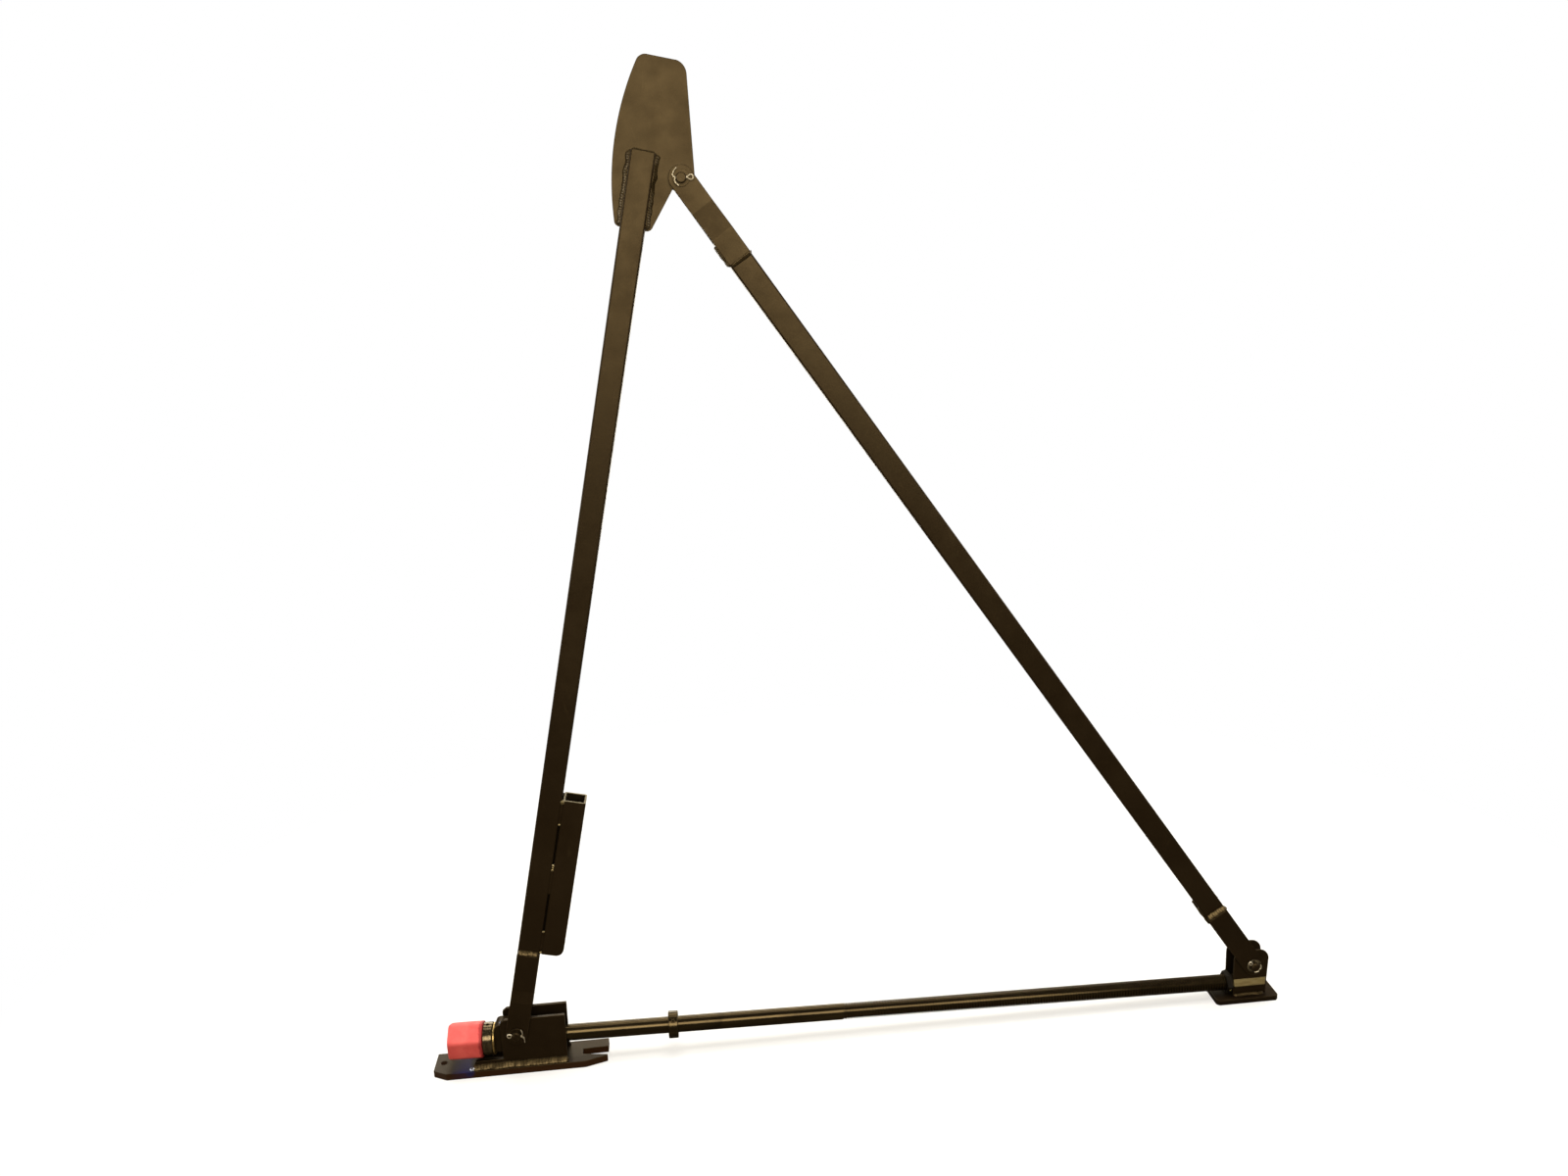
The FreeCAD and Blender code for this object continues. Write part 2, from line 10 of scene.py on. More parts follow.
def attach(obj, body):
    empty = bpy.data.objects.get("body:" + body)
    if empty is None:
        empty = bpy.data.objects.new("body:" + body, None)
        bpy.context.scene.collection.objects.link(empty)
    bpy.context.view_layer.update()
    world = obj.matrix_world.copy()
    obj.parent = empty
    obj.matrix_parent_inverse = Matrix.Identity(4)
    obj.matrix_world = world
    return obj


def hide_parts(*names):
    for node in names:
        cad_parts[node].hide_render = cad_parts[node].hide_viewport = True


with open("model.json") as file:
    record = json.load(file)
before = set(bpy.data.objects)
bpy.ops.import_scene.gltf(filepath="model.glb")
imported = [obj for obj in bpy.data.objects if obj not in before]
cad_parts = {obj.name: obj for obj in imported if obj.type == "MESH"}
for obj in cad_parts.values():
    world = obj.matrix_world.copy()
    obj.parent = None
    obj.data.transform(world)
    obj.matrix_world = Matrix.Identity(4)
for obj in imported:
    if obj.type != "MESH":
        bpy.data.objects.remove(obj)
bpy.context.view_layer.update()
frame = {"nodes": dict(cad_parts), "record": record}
NODES = frame["nodes"]
MM = 0.001

# ---------------------------------------------------------------- geometry of the frame, in mm
MAST_PIVOT = Vector((0, 0, 76.2))
BRACE_PIVOT = Vector((1335.5, 0, 72.5))
MAST_LEAN = math.radians(13.17)
APEX_U, APEX_V = 1470.1, 60.9
TUBE = 38.1
HALF_TUBE = TUBE / 2
SOCKET_TOP = 447.0      # cut end of the handle socket, along the mast
SCREW_DROP = 21.8
SCREW_TILT = math.radians(1.2008)


def leaned(pivot, angle):
    """Local frame of a leg: Z up along it, X to its right, in metres."""
    return Matrix.Translation(pivot * MM) @ Matrix.Rotation(angle, 4, "Y") @ Matrix.Scale(MM, 4)


MAST = leaned(MAST_PIVOT, MAST_LEAN)
SCREW = leaned(MAST_PIVOT, SCREW_TILT) @ Matrix.Translation((0, 0, -SCREW_DROP))
APEX = (MAST @ Vector((APEX_V, 0, APEX_U))) / MM
BRACE_LEN = (APEX - BRACE_PIVOT).length
BRACE_LEAN = math.atan2(APEX.x - BRACE_PIVOT.x, APEX.z - BRACE_PIVOT.z)
BRACE = leaned(BRACE_PIVOT, BRACE_LEAN)
WORLD = Matrix.Scale(MM, 4)


# ---------------------------------------------------------------- materials

HEAT_CENTRE, HEAT_REACH = (-0.087, -0.0265, 0.0127), 0.011      # blue patch at the front bead's end
HEAT_BAND = (-0.122, -0.086)            # blue band across the drive foot's plate
SAWN_START, SAWN_FULL = 0.0122, 0.0110  # heights on the plate's edge
MOUTH_SHADE_START, MOUTH_SHADE_FULL = -0.0690, -0.0650      # along the red cap: where the painted shade at its open end starts and is full


class Nodes:
    """Short spelling for building a node tree."""

    def __init__(self, tree):
        self.nodes = tree.nodes
        self.links = tree.links

    def new(self, kind, **values):
        """New node, with these values on its sockets or its own settings."""
        node = self.nodes.new(kind)
        for key, value in values.items():
            if key in node.inputs:
                node.inputs[key].default_value = value
            else:
                setattr(node, key, value)
        return node

    def link(self, a, b):
        self.links.new(a, b)

    def noise(self, vec, scale, detail=4.0, rough=0.55, dist=0.0):
        """Noise about 0.5, mostly between 0.3 and 0.7."""
        node = self.new("ShaderNodeTexNoise", Scale=scale, Detail=detail, Roughness=rough, Distortion=dist)
        self.link(vec, node.inputs["Vector"])
        return node.outputs["Fac"]

    def ramp(self, fac, stops):
        """Colour read off (position, colour) stops."""
        node = self.new("ShaderNodeValToRGB")
        el = node.color_ramp.elements
        while len(el) < len(stops):
            el.new(0.5)
        for e, (pos, col) in zip(el, stops):
            e.position = pos
            e.color = (*col, 1) if len(col) == 3 else col
        self.link(fac, node.inputs["Fac"])
        return node.outputs["Color"]

    def grey(self, fac, lo, hi, a=0.0, b=1.0):
        """Value mapped from lo..hi to a..b, and held there outside it."""
        node = self.new("ShaderNodeMapRange")
        self.link(fac, node.inputs["Value"])
        for key, value in (("From Min", lo), ("From Max", hi), ("To Min", a), ("To Max", b)):
            node.inputs[key].default_value = value
        return node.outputs["Result"]

    def math(self, op, a, b):
        node = self.new("ShaderNodeMath", operation=op)
        for i, v in enumerate((a, b)):
            if isinstance(v, (int, float)):
                node.inputs[i].default_value = v
            else:
                self.link(v, node.inputs[i])
        return node.outputs[0]

    def mix(self, fac, a, b):
        """Colour between a and b; each may be a socket or a constant."""
        node = self.new("ShaderNodeMix", data_type="RGBA")
        for sock, v in ((node.inputs[0], fac), (node.inputs[6], a), (node.inputs[7], b)):
            if isinstance(v, (int, float)):
                sock.default_value = v
            elif isinstance(v, tuple):
                sock.default_value = (*v, 1)
            else:
                self.link(v, sock)
        return node.outputs[2]

    def bump(self, height, strength, distance, normal=None):
        node = self.new("ShaderNodeBump", Strength=strength, Distance=distance)
        self.link(height, node.inputs["Height"])
        if normal is not None:
            self.link(normal, node.inputs["Normal"])
        return node.outputs["Normal"]

    def edges(self, radius):
        """About 1 on sharp edges and 0 on flats: how far the rounded normal leaves the true one."""
        bevel = self.new("ShaderNodeBevel", Radius=radius, samples=4)
        geo = self.new("ShaderNodeNewGeometry")
        dot = self.new("ShaderNodeVectorMath", operation="DOT_PRODUCT")
        self.link(bevel.outputs[0], dot.inputs[0])
        self.link(geo.outputs["Normal"], dot.inputs[1])
        return self.grey(dot.outputs["Value"], 0.995, 0.86)


def material(name):
    """New material, its nodes, its principled shader and the object coordinates."""
    mat = bpy.data.materials.new(name)
    mat.use_nodes = True
    mat.node_tree.nodes.clear()
    n = Nodes(mat.node_tree)
    out = n.new("ShaderNodeOutputMaterial")
    bsdf = n.new("ShaderNodeBsdfPrincipled")
    n.link(bsdf.outputs[0], out.inputs[0])
    vec = n.new("ShaderNodeTexCoord").outputs["Object"]
    return mat, n, bsdf, vec


def stretched(n, vec, scale):
    """Coordinates scaled apart, so that a texture streaks along the small one."""
    node = n.new("ShaderNodeMapping")
    n.link(vec, node.inputs["Vector"])
    node.inputs["Scale"].default_value = scale
    return node.outputs["Vector"]


WARM = (1.0, 0.74, 0.40)


def paint_colour(n, vec):
    """Almost black brown: mottling, fine mill-scale grain, scuffs, lighter worn edges that also act as a
    painted highlight, and painted shade that darkens the recesses.
    """
    broad = n.noise(vec, 7.0, 5.0, 0.6)
    base = n.ramp(broad, [(0.30, (0.0078, 0.0044, 0.0021)), (0.52, (0.0108, 0.0062, 0.0029)),
                          (0.74, (0.0154, 0.0096, 0.0046))])
    speck = n.noise(vec, 900.0, 2.0, 0.6)
    base = n.mix(n.grey(speck, 0.60, 0.78, 0.0, 0.40), base, (0.050, 0.036, 0.018))
    scuff = n.noise(stretched(n, vec, (1.0, 1.0, 0.35)), 38.0, 6.0, 0.75, 0.6)
    base = n.mix(n.grey(scuff, 0.60, 0.74, 0.0, 0.40), base, (0.042, 0.030, 0.014))
    # lighter worn edges, partly wear and partly a painted highlight along the edges
    worn = n.math("MULTIPLY", n.edges(0.0014), n.grey(n.noise(vec, 60.0, 6.0, 0.7), 0.40, 0.62))
    base = n.mix(n.math("MULTIPLY", worn, 0.7), base, (0.110, 0.080, 0.038))
    # painted shade: ambient occlusion darkens the paint almost to black in recesses and between parts
    painted_recess_shade = n.new("ShaderNodeAmbientOcclusion", Distance=0.045, samples=4)
    return n.mix(n.grey(painted_recess_shade.outputs["AO"], 0.30, 0.62), (0.0025, 0.0018, 0.0011), base)


def paint_surface(n, bsdf, vec):
    """Satin gloss that varies over the part, with an orange-peel bump over rolled steel."""
    rough = n.grey(n.noise(vec, 26.0, 5.0, 0.6), 0.3, 0.7, 0.36, 0.50)
    n.link(rough, bsdf.inputs["Roughness"])
    grain = n.bump(n.noise(vec, 420.0, 3.0, 0.6), 0.14, 0.0005)
    n.link(n.bump(n.noise(vec, 55.0, 4.0, 0.6), 0.10, 0.0018, grain), bsdf.inputs["Normal"])
    bsdf.inputs["Specular IOR Level"].default_value = 0.35
    bsdf.inputs["Specular Tint"].default_value = (*WARM, 1)


def dark_paint():
    """The plain paint of the whole frame."""
    mat, n, bsdf, vec = material("dark_paint")
    n.link(paint_colour(n, vec), bsdf.inputs["Base Color"])
    paint_surface(n, bsdf, vec)
    return mat


def nut_painted_shade():
    """Drive nut: painted almost black as painted shade for the shadow it sits in, mottled, with hardly any
    gloss.
    """
    mat, n, bsdf, vec = material("nut_painted_shade")
    nut_mottle = n.noise(vec, 150.0, 5.0, 0.65)
    # painted shade: the nut's colour is held near black
    base = n.ramp(nut_mottle, [(0.34, (0.0030, 0.0022, 0.0013)), (0.56, (0.0075, 0.0052, 0.0028)),
                          (0.76, (0.0260, 0.0190, 0.0095))])
    n.link(base, bsdf.inputs["Base Color"])
    n.link(n.grey(nut_mottle, 0.3, 0.7, 0.48, 0.66), bsdf.inputs["Roughness"])
    n.link(n.bump(nut_mottle, 0.20, 0.0006), bsdf.inputs["Normal"])
    bsdf.inputs["Specular IOR Level"].default_value = 0.16
    return mat


def heat_tinted_paint():
    """The paint, with a blue band and a blue patch where the welding heat soaked in, and a grey left end
    that is a painted reflection, in metres.
    """
    mat, n, bsdf, vec = material("heat_tinted_paint")
    base = paint_colour(n, vec)
    start, end = HEAT_BAND
    split = n.new("ShaderNodeSeparateXYZ")
    n.link(vec, split.inputs[0])
    wave = n.math("MULTIPLY", n.math("SUBTRACT", n.noise(vec, 30.0, 4.0), 0.5), 0.012)
    along = n.math("ADD", split.outputs["X"], wave)
    # painted reflection: the plate's left end is greyed as if it mirrored a pale wall
    painted_reflection_end = n.grey(along, start, start - 0.012, 0.0, 0.55)
    base = n.mix(painted_reflection_end, base, (0.052, 0.048, 0.042))
    band = n.math("MINIMUM", n.grey(along, start, end - 0.006), n.grey(along, end + 0.004, end - 0.003))
    base = n.mix(n.math("MULTIPLY", band, 0.97), base, (0.010, 0.012, 0.095))
    # sawn edges of the bar, browner than its faces
    sawn = n.grey(split.outputs["Z"], SAWN_START, SAWN_FULL, 0.0, 0.6)
    base = n.mix(sawn, base, (0.046, 0.0175, 0.0065))
    away = n.new("ShaderNodeVectorMath", operation="DISTANCE")
    n.link(vec, away.inputs[0])
    away.inputs[1].default_value = HEAT_CENTRE
    ring = n.grey(n.math("ADD", away.outputs["Value"], wave), HEAT_REACH, HEAT_REACH * 0.55)
    base = n.mix(n.math("MULTIPLY", ring, 0.95), base, (0.010, 0.014, 0.075))
    n.link(base, bsdf.inputs["Base Color"])
    paint_surface(n, bsdf, vec)
    return mat


def ledge_painted_highlight():
    """Steep ledges beside the ears: pale olive as a painted highlight for the light they catch, with
    scratches along them.
    """
    mat, n, bsdf, vec = material("ledge_painted_highlight")
    streak = n.noise(stretched(n, vec, (0.12, 1.0, 1.0)), 210.0, 6.0, 0.7)
    # painted highlight: the ledges' base colour is many times lighter than the paint
    base = n.ramp(streak, [(0.30, (0.105, 0.082, 0.034)), (0.52, (0.175, 0.140, 0.062)),
                           (0.74, (0.245, 0.205, 0.105))])
    patch = n.noise(vec, 70.0, 4.0, 0.6)
    base = n.mix(n.grey(patch, 0.60, 0.72, 0.0, 0.6), base, (0.050, 0.038, 0.018))
    n.link(base, bsdf.inputs["Base Color"])
    n.link(n.grey(streak, 0.3, 0.7, 0.34, 0.48), bsdf.inputs["Roughness"])
    n.link(n.bump(streak, 0.10, 0.0004), bsdf.inputs["Normal"])
    bsdf.inputs["Specular Tint"].default_value = (*WARM, 1)
    return mat


def weld_metal():
    """Weld bead under the same paint: shinier than the flats, with painted shade darkening it between the
    ripples.
    """
    mat, n, bsdf, vec = material("weld_bead")
    tone = n.noise(vec, 120.0, 5.0, 0.65)
    base = n.ramp(tone, [(0.30, (0.017, 0.0110, 0.0050)), (0.52, (0.029, 0.0205, 0.0092)),
                         (0.74, (0.052, 0.039, 0.017))])
    # painted shade: ambient occlusion darkens the bead between its ripples
    painted_ripple_shade = n.new("ShaderNodeAmbientOcclusion", Distance=0.004, samples=6)
    base = n.mix(n.grey(painted_ripple_shade.outputs["AO"], 0.35, 0.95), (0.010, 0.0068, 0.0040), base)
    n.link(base, bsdf.inputs["Base Color"])
    n.link(n.grey(n.noise(vec, 260.0, 3.0), 0.3, 0.7, 0.24, 0.40), bsdf.inputs["Roughness"])
    n.link(n.bump(n.noise(vec, 700.0, 3.0), 0.25, 0.0004), bsdf.inputs["Normal"])
    bsdf.inputs["Specular IOR Level"].default_value = 0.62
    bsdf.inputs["Specular Tint"].default_value = (*WARM, 1)
    return mat


def bare_weld(name, dark, middle, light):
    """Weld left without paint: shiny, with a heat colour."""
    mat, n, bsdf, vec = material(name)
    tone = n.noise(vec, 190.0, 4.0, 0.6)
    n.link(n.ramp(tone, [(0.32, dark), (0.52, middle), (0.70, light)]), bsdf.inputs["Base Color"])
    n.link(n.grey(n.noise(vec, 320.0, 3.0), 0.3, 0.7, 0.22, 0.42), bsdf.inputs["Roughness"])
    n.link(n.bump(n.noise(vec, 520.0, 3.0), 0.3, 0.0005), bsdf.inputs["Normal"])
    bsdf.inputs["Metallic"].default_value = 0.9
    return mat


def oiled_steel(name, dark, light, rough_lo, rough_hi, stretch):
    """Dark oiled metal with streaks along one direction."""
    mat, n, bsdf, vec = material(name)
    streak = n.noise(stretched(n, vec, stretch), 90.0, 6.0, 0.7)
    base = n.ramp(streak, [(0.30, dark), (0.72, light)])
    stain = n.noise(vec, 24.0, 5.0, 0.7, 0.5)
    base = n.mix(n.grey(stain, 0.56, 0.72, 0.0, 0.6), base, tuple(0.55 * c for c in dark))
    worn = n.math("MULTIPLY", n.edges(0.0008), n.grey(n.noise(vec, 150.0, 4.0), 0.35, 0.6))
    base = n.mix(n.math("MULTIPLY", worn, 0.6), base, tuple(min(1.0, 1.7 * c) for c in light))
    n.link(base, bsdf.inputs["Base Color"])
    n.link(n.grey(streak, 0.3, 0.7, rough_lo, rough_hi), bsdf.inputs["Roughness"])
    n.link(n.bump(streak, 0.08, 0.0004), bsdf.inputs["Normal"])
    bsdf.inputs["Metallic"].default_value = 0.9
    return mat


def painted_pin():
    """Pins and washers painted over with the straps, rubbed where they turn."""
    mat, n, bsdf, vec = material("pin_steel")
    base = paint_colour(n, vec)
    rub = n.noise(vec, 110.0, 5.0, 0.7, 0.4)
    base = n.mix(n.grey(rub, 0.52, 0.70, 0.0, 0.55), base, (0.060, 0.044, 0.022))
    n.link(base, bsdf.inputs["Base Color"])
    paint_surface(n, bsdf, vec)
    return mat


def socket_paint():
    """The paint, rubbed to pale metal on the cut end of the handle socket."""
    mat, n, bsdf, vec = material("socket_paint")
    base = paint_colour(n, vec)
    along = n.new("ShaderNodeVectorMath", operation="DOT_PRODUCT")
    n.link(vec, along.inputs[0])
    along.inputs[1].default_value = (math.sin(MAST_LEAN), 0.0, math.cos(MAST_LEAN))
    rim_place = (MAST_PIVOT.z * math.cos(MAST_LEAN) + SOCKET_TOP) * MM
    rim = n.grey(along.outputs["Value"], rim_place - 0.0010, rim_place - 0.0003)
    patch = n.noise(vec, 170.0, 5.0, 0.6)
    cream = n.ramp(patch, [(0.32, (0.08, 0.068, 0.040)), (0.55, (0.16, 0.14, 0.09)),
                           (0.75, (0.25, 0.22, 0.15))])
    n.link(n.mix(rim, base, cream), bsdf.inputs["Base Color"])
    paint_surface(n, bsdf, vec)
    return mat


def worn_washer():
    """Washer face whose paint is rubbed off in patches."""
    mat, n, bsdf, vec = material("worn_washer")
    patches = n.noise(vec, 95.0, 6.0, 0.7, 0.5)
    base = n.ramp(patches, [(0.40, (0.014, 0.0098, 0.0046)), (0.54, (0.040, 0.030, 0.015)),
                            (0.66, (0.260, 0.220, 0.140))])
    n.link(base, bsdf.inputs["Base Color"])
    n.link(n.grey(patches, 0.3, 0.7, 0.50, 0.30), bsdf.inputs["Roughness"])
    n.link(n.bump(patches, 0.22, 0.0004), bsdf.inputs["Normal"])
    bsdf.inputs["Metallic"].default_value = 0.35
    return mat


def zinc():
    """Bright plating of the cotters, slightly yellow and dulled."""
    mat, n, bsdf, vec = material("zinc")
    tone = n.noise(vec, 340.0, 5.0, 0.6)
    base = n.ramp(tone, [(0.3, (0.55, 0.47, 0.32)), (0.6, (0.80, 0.73, 0.58)), (0.8, (0.88, 0.84, 0.72))])
    n.link(base, bsdf.inputs["Base Color"])
    n.link(n.grey(n.noise(vec, 500.0, 3.0), 0.3, 0.7, 0.30, 0.46), bsdf.inputs["Roughness"])
    n.link(n.bump(n.noise(vec, 900.0, 3.0), 0.12, 0.0002), bsdf.inputs["Normal"])
    bsdf.inputs["Metallic"].default_value = 0.6
    return mat


def bronze():
    """Thrust washers and bush, with turning marks round them."""
    mat, n, bsdf, vec = material("bronze")
    tone = n.noise(stretched(n, vec, (1.0, 1.0, 6.0)), 120.0, 6.0, 0.7)
    base = n.ramp(tone, [(0.28, (0.30, 0.19, 0.065)), (0.55, (0.58, 0.42, 0.17)),
                         (0.80, (0.80, 0.62, 0.30))])
    n.link(base, bsdf.inputs["Base Color"])
    n.link(n.grey(tone, 0.3, 0.7, 0.22, 0.38), bsdf.inputs["Roughness"])
    n.link(n.bump(tone, 0.08, 0.0003), bsdf.inputs["Normal"])
    bsdf.inputs["Metallic"].default_value = 0.95
    return mat


def red_plastic():
    """Faded salmon-red moulded cover: softly mottled, scuffed, with painted shade making its open end a
    deeper red.
    """
    mat, n, bsdf, vec = material("red_plastic")
    tone = n.noise(vec, 46.0, 5.0, 0.6, 0.3)
    base = n.ramp(tone, [(0.28, (0.68, 0.082, 0.080)), (0.52, (0.78, 0.108, 0.102)),
                         (0.76, (0.84, 0.140, 0.130))])
    smear = n.noise(stretched(n, vec, (0.5, 1.0, 1.6)), 70.0, 6.0, 0.75, 0.8)
    base = n.mix(n.grey(smear, 0.58, 0.74, 0.0, 0.45), base, (0.58, 0.052, 0.050))
    base = n.mix(n.math("MULTIPLY", n.edges(0.002), 0.30), base, (0.92, 0.26, 0.22))
    # painted shade: the open end is a deeper red, with a ragged limit
    split = n.new("ShaderNodeSeparateXYZ")
    n.link(vec, split.inputs[0])
    ragged = n.math("MULTIPLY", n.math("SUBTRACT", n.noise(vec, 85.0, 4.0, 0.7), 0.5), 0.012)
    rim = n.grey(n.math("ADD", split.outputs["X"], ragged), MOUTH_SHADE_START, MOUTH_SHADE_FULL, 0.0, 0.9)
    base = n.mix(rim, base, (0.30, 0.016, 0.020))
    n.link(base, bsdf.inputs["Base Color"])
    n.link(n.grey(n.noise(vec, 80.0, 4.0), 0.3, 0.7, 0.42, 0.60), bsdf.inputs["Roughness"])
    fine = n.bump(n.noise(vec, 600.0, 3.0), 0.10, 0.0003)
    n.link(n.bump(n.noise(vec, 60.0, 3.0), 0.10, 0.0015, fine), bsdf.inputs["Normal"])
    bsdf.inputs["Subsurface Weight"].default_value = 0.05
    bsdf.inputs["Subsurface Radius"].default_value = (0.004, 0.001, 0.001)
    return mat


ALONG_SCREW = (0.06, 1, 1)
ROUND_SCREW = (5, 1, 1)

MATS = {
    "dark_paint": dark_paint(),
    "nut_painted_shade": nut_painted_shade(),
    "heat_tinted_paint": heat_tinted_paint(),
    "weld_bead": weld_metal(),
    "blue_weld": bare_weld("blue_weld", (0.14, 0.16, 0.26), (0.42, 0.48, 0.66), (0.72, 0.74, 0.76)),
    "straw_weld": bare_weld("straw_weld", (0.16, 0.12, 0.05), (0.42, 0.34, 0.18), (0.70, 0.62, 0.42)),
    "oiled_steel": oiled_steel("oiled_steel", (0.026, 0.0175, 0.0080), (0.090, 0.066, 0.032),
                               0.13, 0.25, ALONG_SCREW),
    "bearing_steel": oiled_steel("bearing_steel", (0.045, 0.032, 0.017), (0.21, 0.165, 0.10),
                                 0.12, 0.22, ROUND_SCREW),
    "worn_washer": worn_washer(),
    "socket_paint": socket_paint(),
    "ledge_painted_highlight": ledge_painted_highlight(),
    "pin_steel": painted_pin(),
    "bronze": bronze(),
    "zinc": zinc(),
    "red_plastic": red_plastic(),
}


# ---------------------------------------------------------------- mesh helpers

def add_object(name, verts, faces, mat):
    """Closed mesh in metres with its normals outward, smooth shaded, in one material."""
    mesh = bpy.data.meshes.new(name)
    mesh.from_pydata([tuple(v) for v in verts], [], faces)
    mesh.validate()
    mesh.update()
    bm = bmesh.new()
    bm.from_mesh(mesh)
    bmesh.ops.recalc_face_normals(bm, faces=bm.faces)
    bm.to_mesh(mesh)
    bm.free()
    obj = bpy.data.objects.new(name, mesh)
    bpy.context.scene.collection.objects.link(obj)
    mesh.materials.append(MATS[mat])
    for p in mesh.polygons:
        p.use_smooth = True
    return obj


def apply_modifiers(obj):
    """Bake the modifiers into the mesh."""
    deps = bpy.context.evaluated_depsgraph_get()
    mesh = bpy.data.meshes.new_from_object(obj.evaluated_get(deps))
    obj.modifiers.clear()
    obj.data = mesh
    return obj


def split_sharp(obj, degrees):
    """Split the edges sharper than this, so that they shade as edges."""
    mod = obj.modifiers.new("split", "EDGE_SPLIT")
    mod.split_angle = math.radians(degrees)
    apply_modifiers(obj)


def finish_piece(obj, body, slot, *nodes):
    """Tie a piece to its body, in place of the CAD nodes it stands for; the slot is not used."""
    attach(obj, body)
    if nodes:
        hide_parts(*nodes)
    return obj


BODY_OF = {n: b for b, ns in frame["record"]["behaviour"]["bodies"].items() for n in ns}
SLOT_OF = {s["node"]: s["material_slot"] for s in frame["record"]["subparts"]}


def bevelled(node, width=0.0007, segments=2, angle=28.0, mat=None):
    """A copy of a CAD node with its sharp edges rounded, to stand for the node."""
    source = NODES[node].data
    bm = bmesh.new()
    bm.from_mesh(source)
    bmesh.ops.remove_doubles(bm, verts=bm.verts, dist=2e-6)
    bmesh.ops.dissolve_limit(bm, angle_limit=math.radians(0.3), verts=bm.verts, edges=bm.edges)
    verts = [v.co.copy() for v in bm.verts]
    bm.verts.index_update()
    faces = [[v.index for v in f.verts] for f in bm.faces]
    bm.free()
    obj = add_object(node + "_skin", verts, faces, mat or SLOT_OF[node])
    mod = obj.modifiers.new("edge", "BEVEL")
    mod.width = width
    mod.segments = segments
    mod.limit_method = "ANGLE"
    mod.angle_limit = math.radians(angle)
    mod.use_clamp_overlap = False
    mod.harden_normals = True
    apply_modifiers(obj)
    return finish_piece(obj, BODY_OF[node], SLOT_OF[node], node)


def rows_to_faces(rows, cols, closed_cols=True, offset=0):
    """Quads between rows of points; the rows are rings unless closed_cols is false."""
    faces = []
    for i in range(rows - 1):
        for j in range(cols if closed_cols else cols - 1):
            k = (j + 1) % cols
            faces.append((offset + i * cols + j, offset + i * cols + k,
                          offset + (i + 1) * cols + k, offset + (i + 1) * cols + j))
    return faces


def capped_rows(rows, cols):
    """Quads between rings of points, with a face across each end."""
    faces = rows_to_faces(rows, cols)
    faces.append(tuple(range(cols)))
    faces.append(tuple(reversed(range((rows - 1) * cols, rows * cols))))
    return faces


def lathe(profile, segments=64):
    """Solid of revolution about X from (x, r) points, in mm."""
    verts = []
    for x, r in profile:
        for k in range(segments):
            a = 2 * math.pi * k / segments
            verts.append(Vector((x, r * math.cos(a), r * math.sin(a))))
    return verts, capped_rows(len(profile), segments)


def merged(parts):
    """One (verts, faces) pair out of several."""
    verts, faces = [], []
    for v, f in parts:
        base = len(verts)
        verts += v
        faces += [tuple(base + i for i in face) for face in f]
    return verts, faces


def placed(part, matrix):
    """The part moved by the matrix."""
    verts, faces = part
    return [matrix @ v for v in verts], faces


BEAD_STEP = 0.55        # length of weld between two rows of points


def bead(start, end, side_a, side_b, leg_a, leg_b, seed,
         pitch=3.4, ripple=0.32, wander=0.10, bulge=1.12):
    """Rippled weld bead in the corner line from start to end, in mm.

    side_a and side_b point along the two surfaces away from the corner. The ripples are
    crescents, like stacked coins, and the legs wander a little along the run.
    """
    rng = random.Random(seed)
    phase = rng.uniform(0, 100)
    length = (end - start).length
    run = (end - start).normalized()
    steps = int(length / BEAD_STEP)
    arc = 9
    verts = []
    for i in range(steps + 1):
        s = length * i / steps
        tip = min(s, length - s)
        fade = min(1.0, math.sqrt(max(tip, 0.0) / 4.0 + 0.02))
        grow_a = 1 + wander * noise.noise(Vector((s * 0.11, phase, 0.3))) * 2
        grow_b = 1 + wander * noise.noise(Vector((s * 0.09, phase, 7.7))) * 2
        verts.append(start + run * s - (side_a + side_b) * 0.02)
        for j in range(arc):
            t = j / (arc - 1)
            a = t * math.pi / 2
            lag = 1.6 * (1 - (2 * t - 1) ** 2)
            cycle = ((s + lag + 0.35 * noise.noise(Vector((s * 0.3, phase, 3.1)))) / pitch) % 1.0
            swell = 0.35 + 0.65 * math.sin(math.pi * (t * 0.9 + 0.05))
            crest = ripple * (1 - cycle) * swell
            round_out = 1 - (1 - 0.7071 * bulge) * math.sin(2 * a)
            ra = leg_a * grow_a * fade * round_out + crest * fade
            rb = leg_b * grow_b * fade * round_out + crest * fade
            verts.append(start + run * s + side_a * (ra * math.cos(a)) + side_b * (rb * math.sin(a)))
    return verts, capped_rows(steps + 1, arc + 1)


def flat_bead(start, end, across, up, half_width, height, seed, pitch=3.2, ripple=0.30):
    """Rippled bead lying on a flat or over a seam, with an elliptical section, in mm."""
    rng = random.Random(seed)
    phase = rng.uniform(0, 100)
    length = (end - start).length
    run = (end - start).normalized()
    steps = int(length / BEAD_STEP)
    arc = 11
    verts = []
    for i in range(steps + 1):
        s = length * i / steps
        tip = min(s, length - s)
        reach = max(half_width, 1.0)
        fade = math.sqrt(max(0.03, 1 - (1 - min(1.0, tip / reach)) ** 2))
        grow = 1 + 0.22 * noise.noise(Vector((s * 0.13, phase, 1.3)))
        for j in range(arc):
            a = math.pi * j / (arc - 1)
            lag = 2.0 * math.sin(a)
            cycle = ((s + lag + 0.4 * noise.noise(Vector((s * 0.3, phase, 5.1)))) / pitch) % 1.0
            crest = ripple * (1 - cycle) * math.sin(a)
            w = half_width * grow * fade * math.cos(a)
            h = (height * grow * fade) * math.sin(a) + crest * fade
            verts.append(start + run * s + across * w + up * h)
    return verts, capped_rows(steps + 1, arc)


# ---------------------------------------------------------------- pieces: CAD nodes with rounded edges

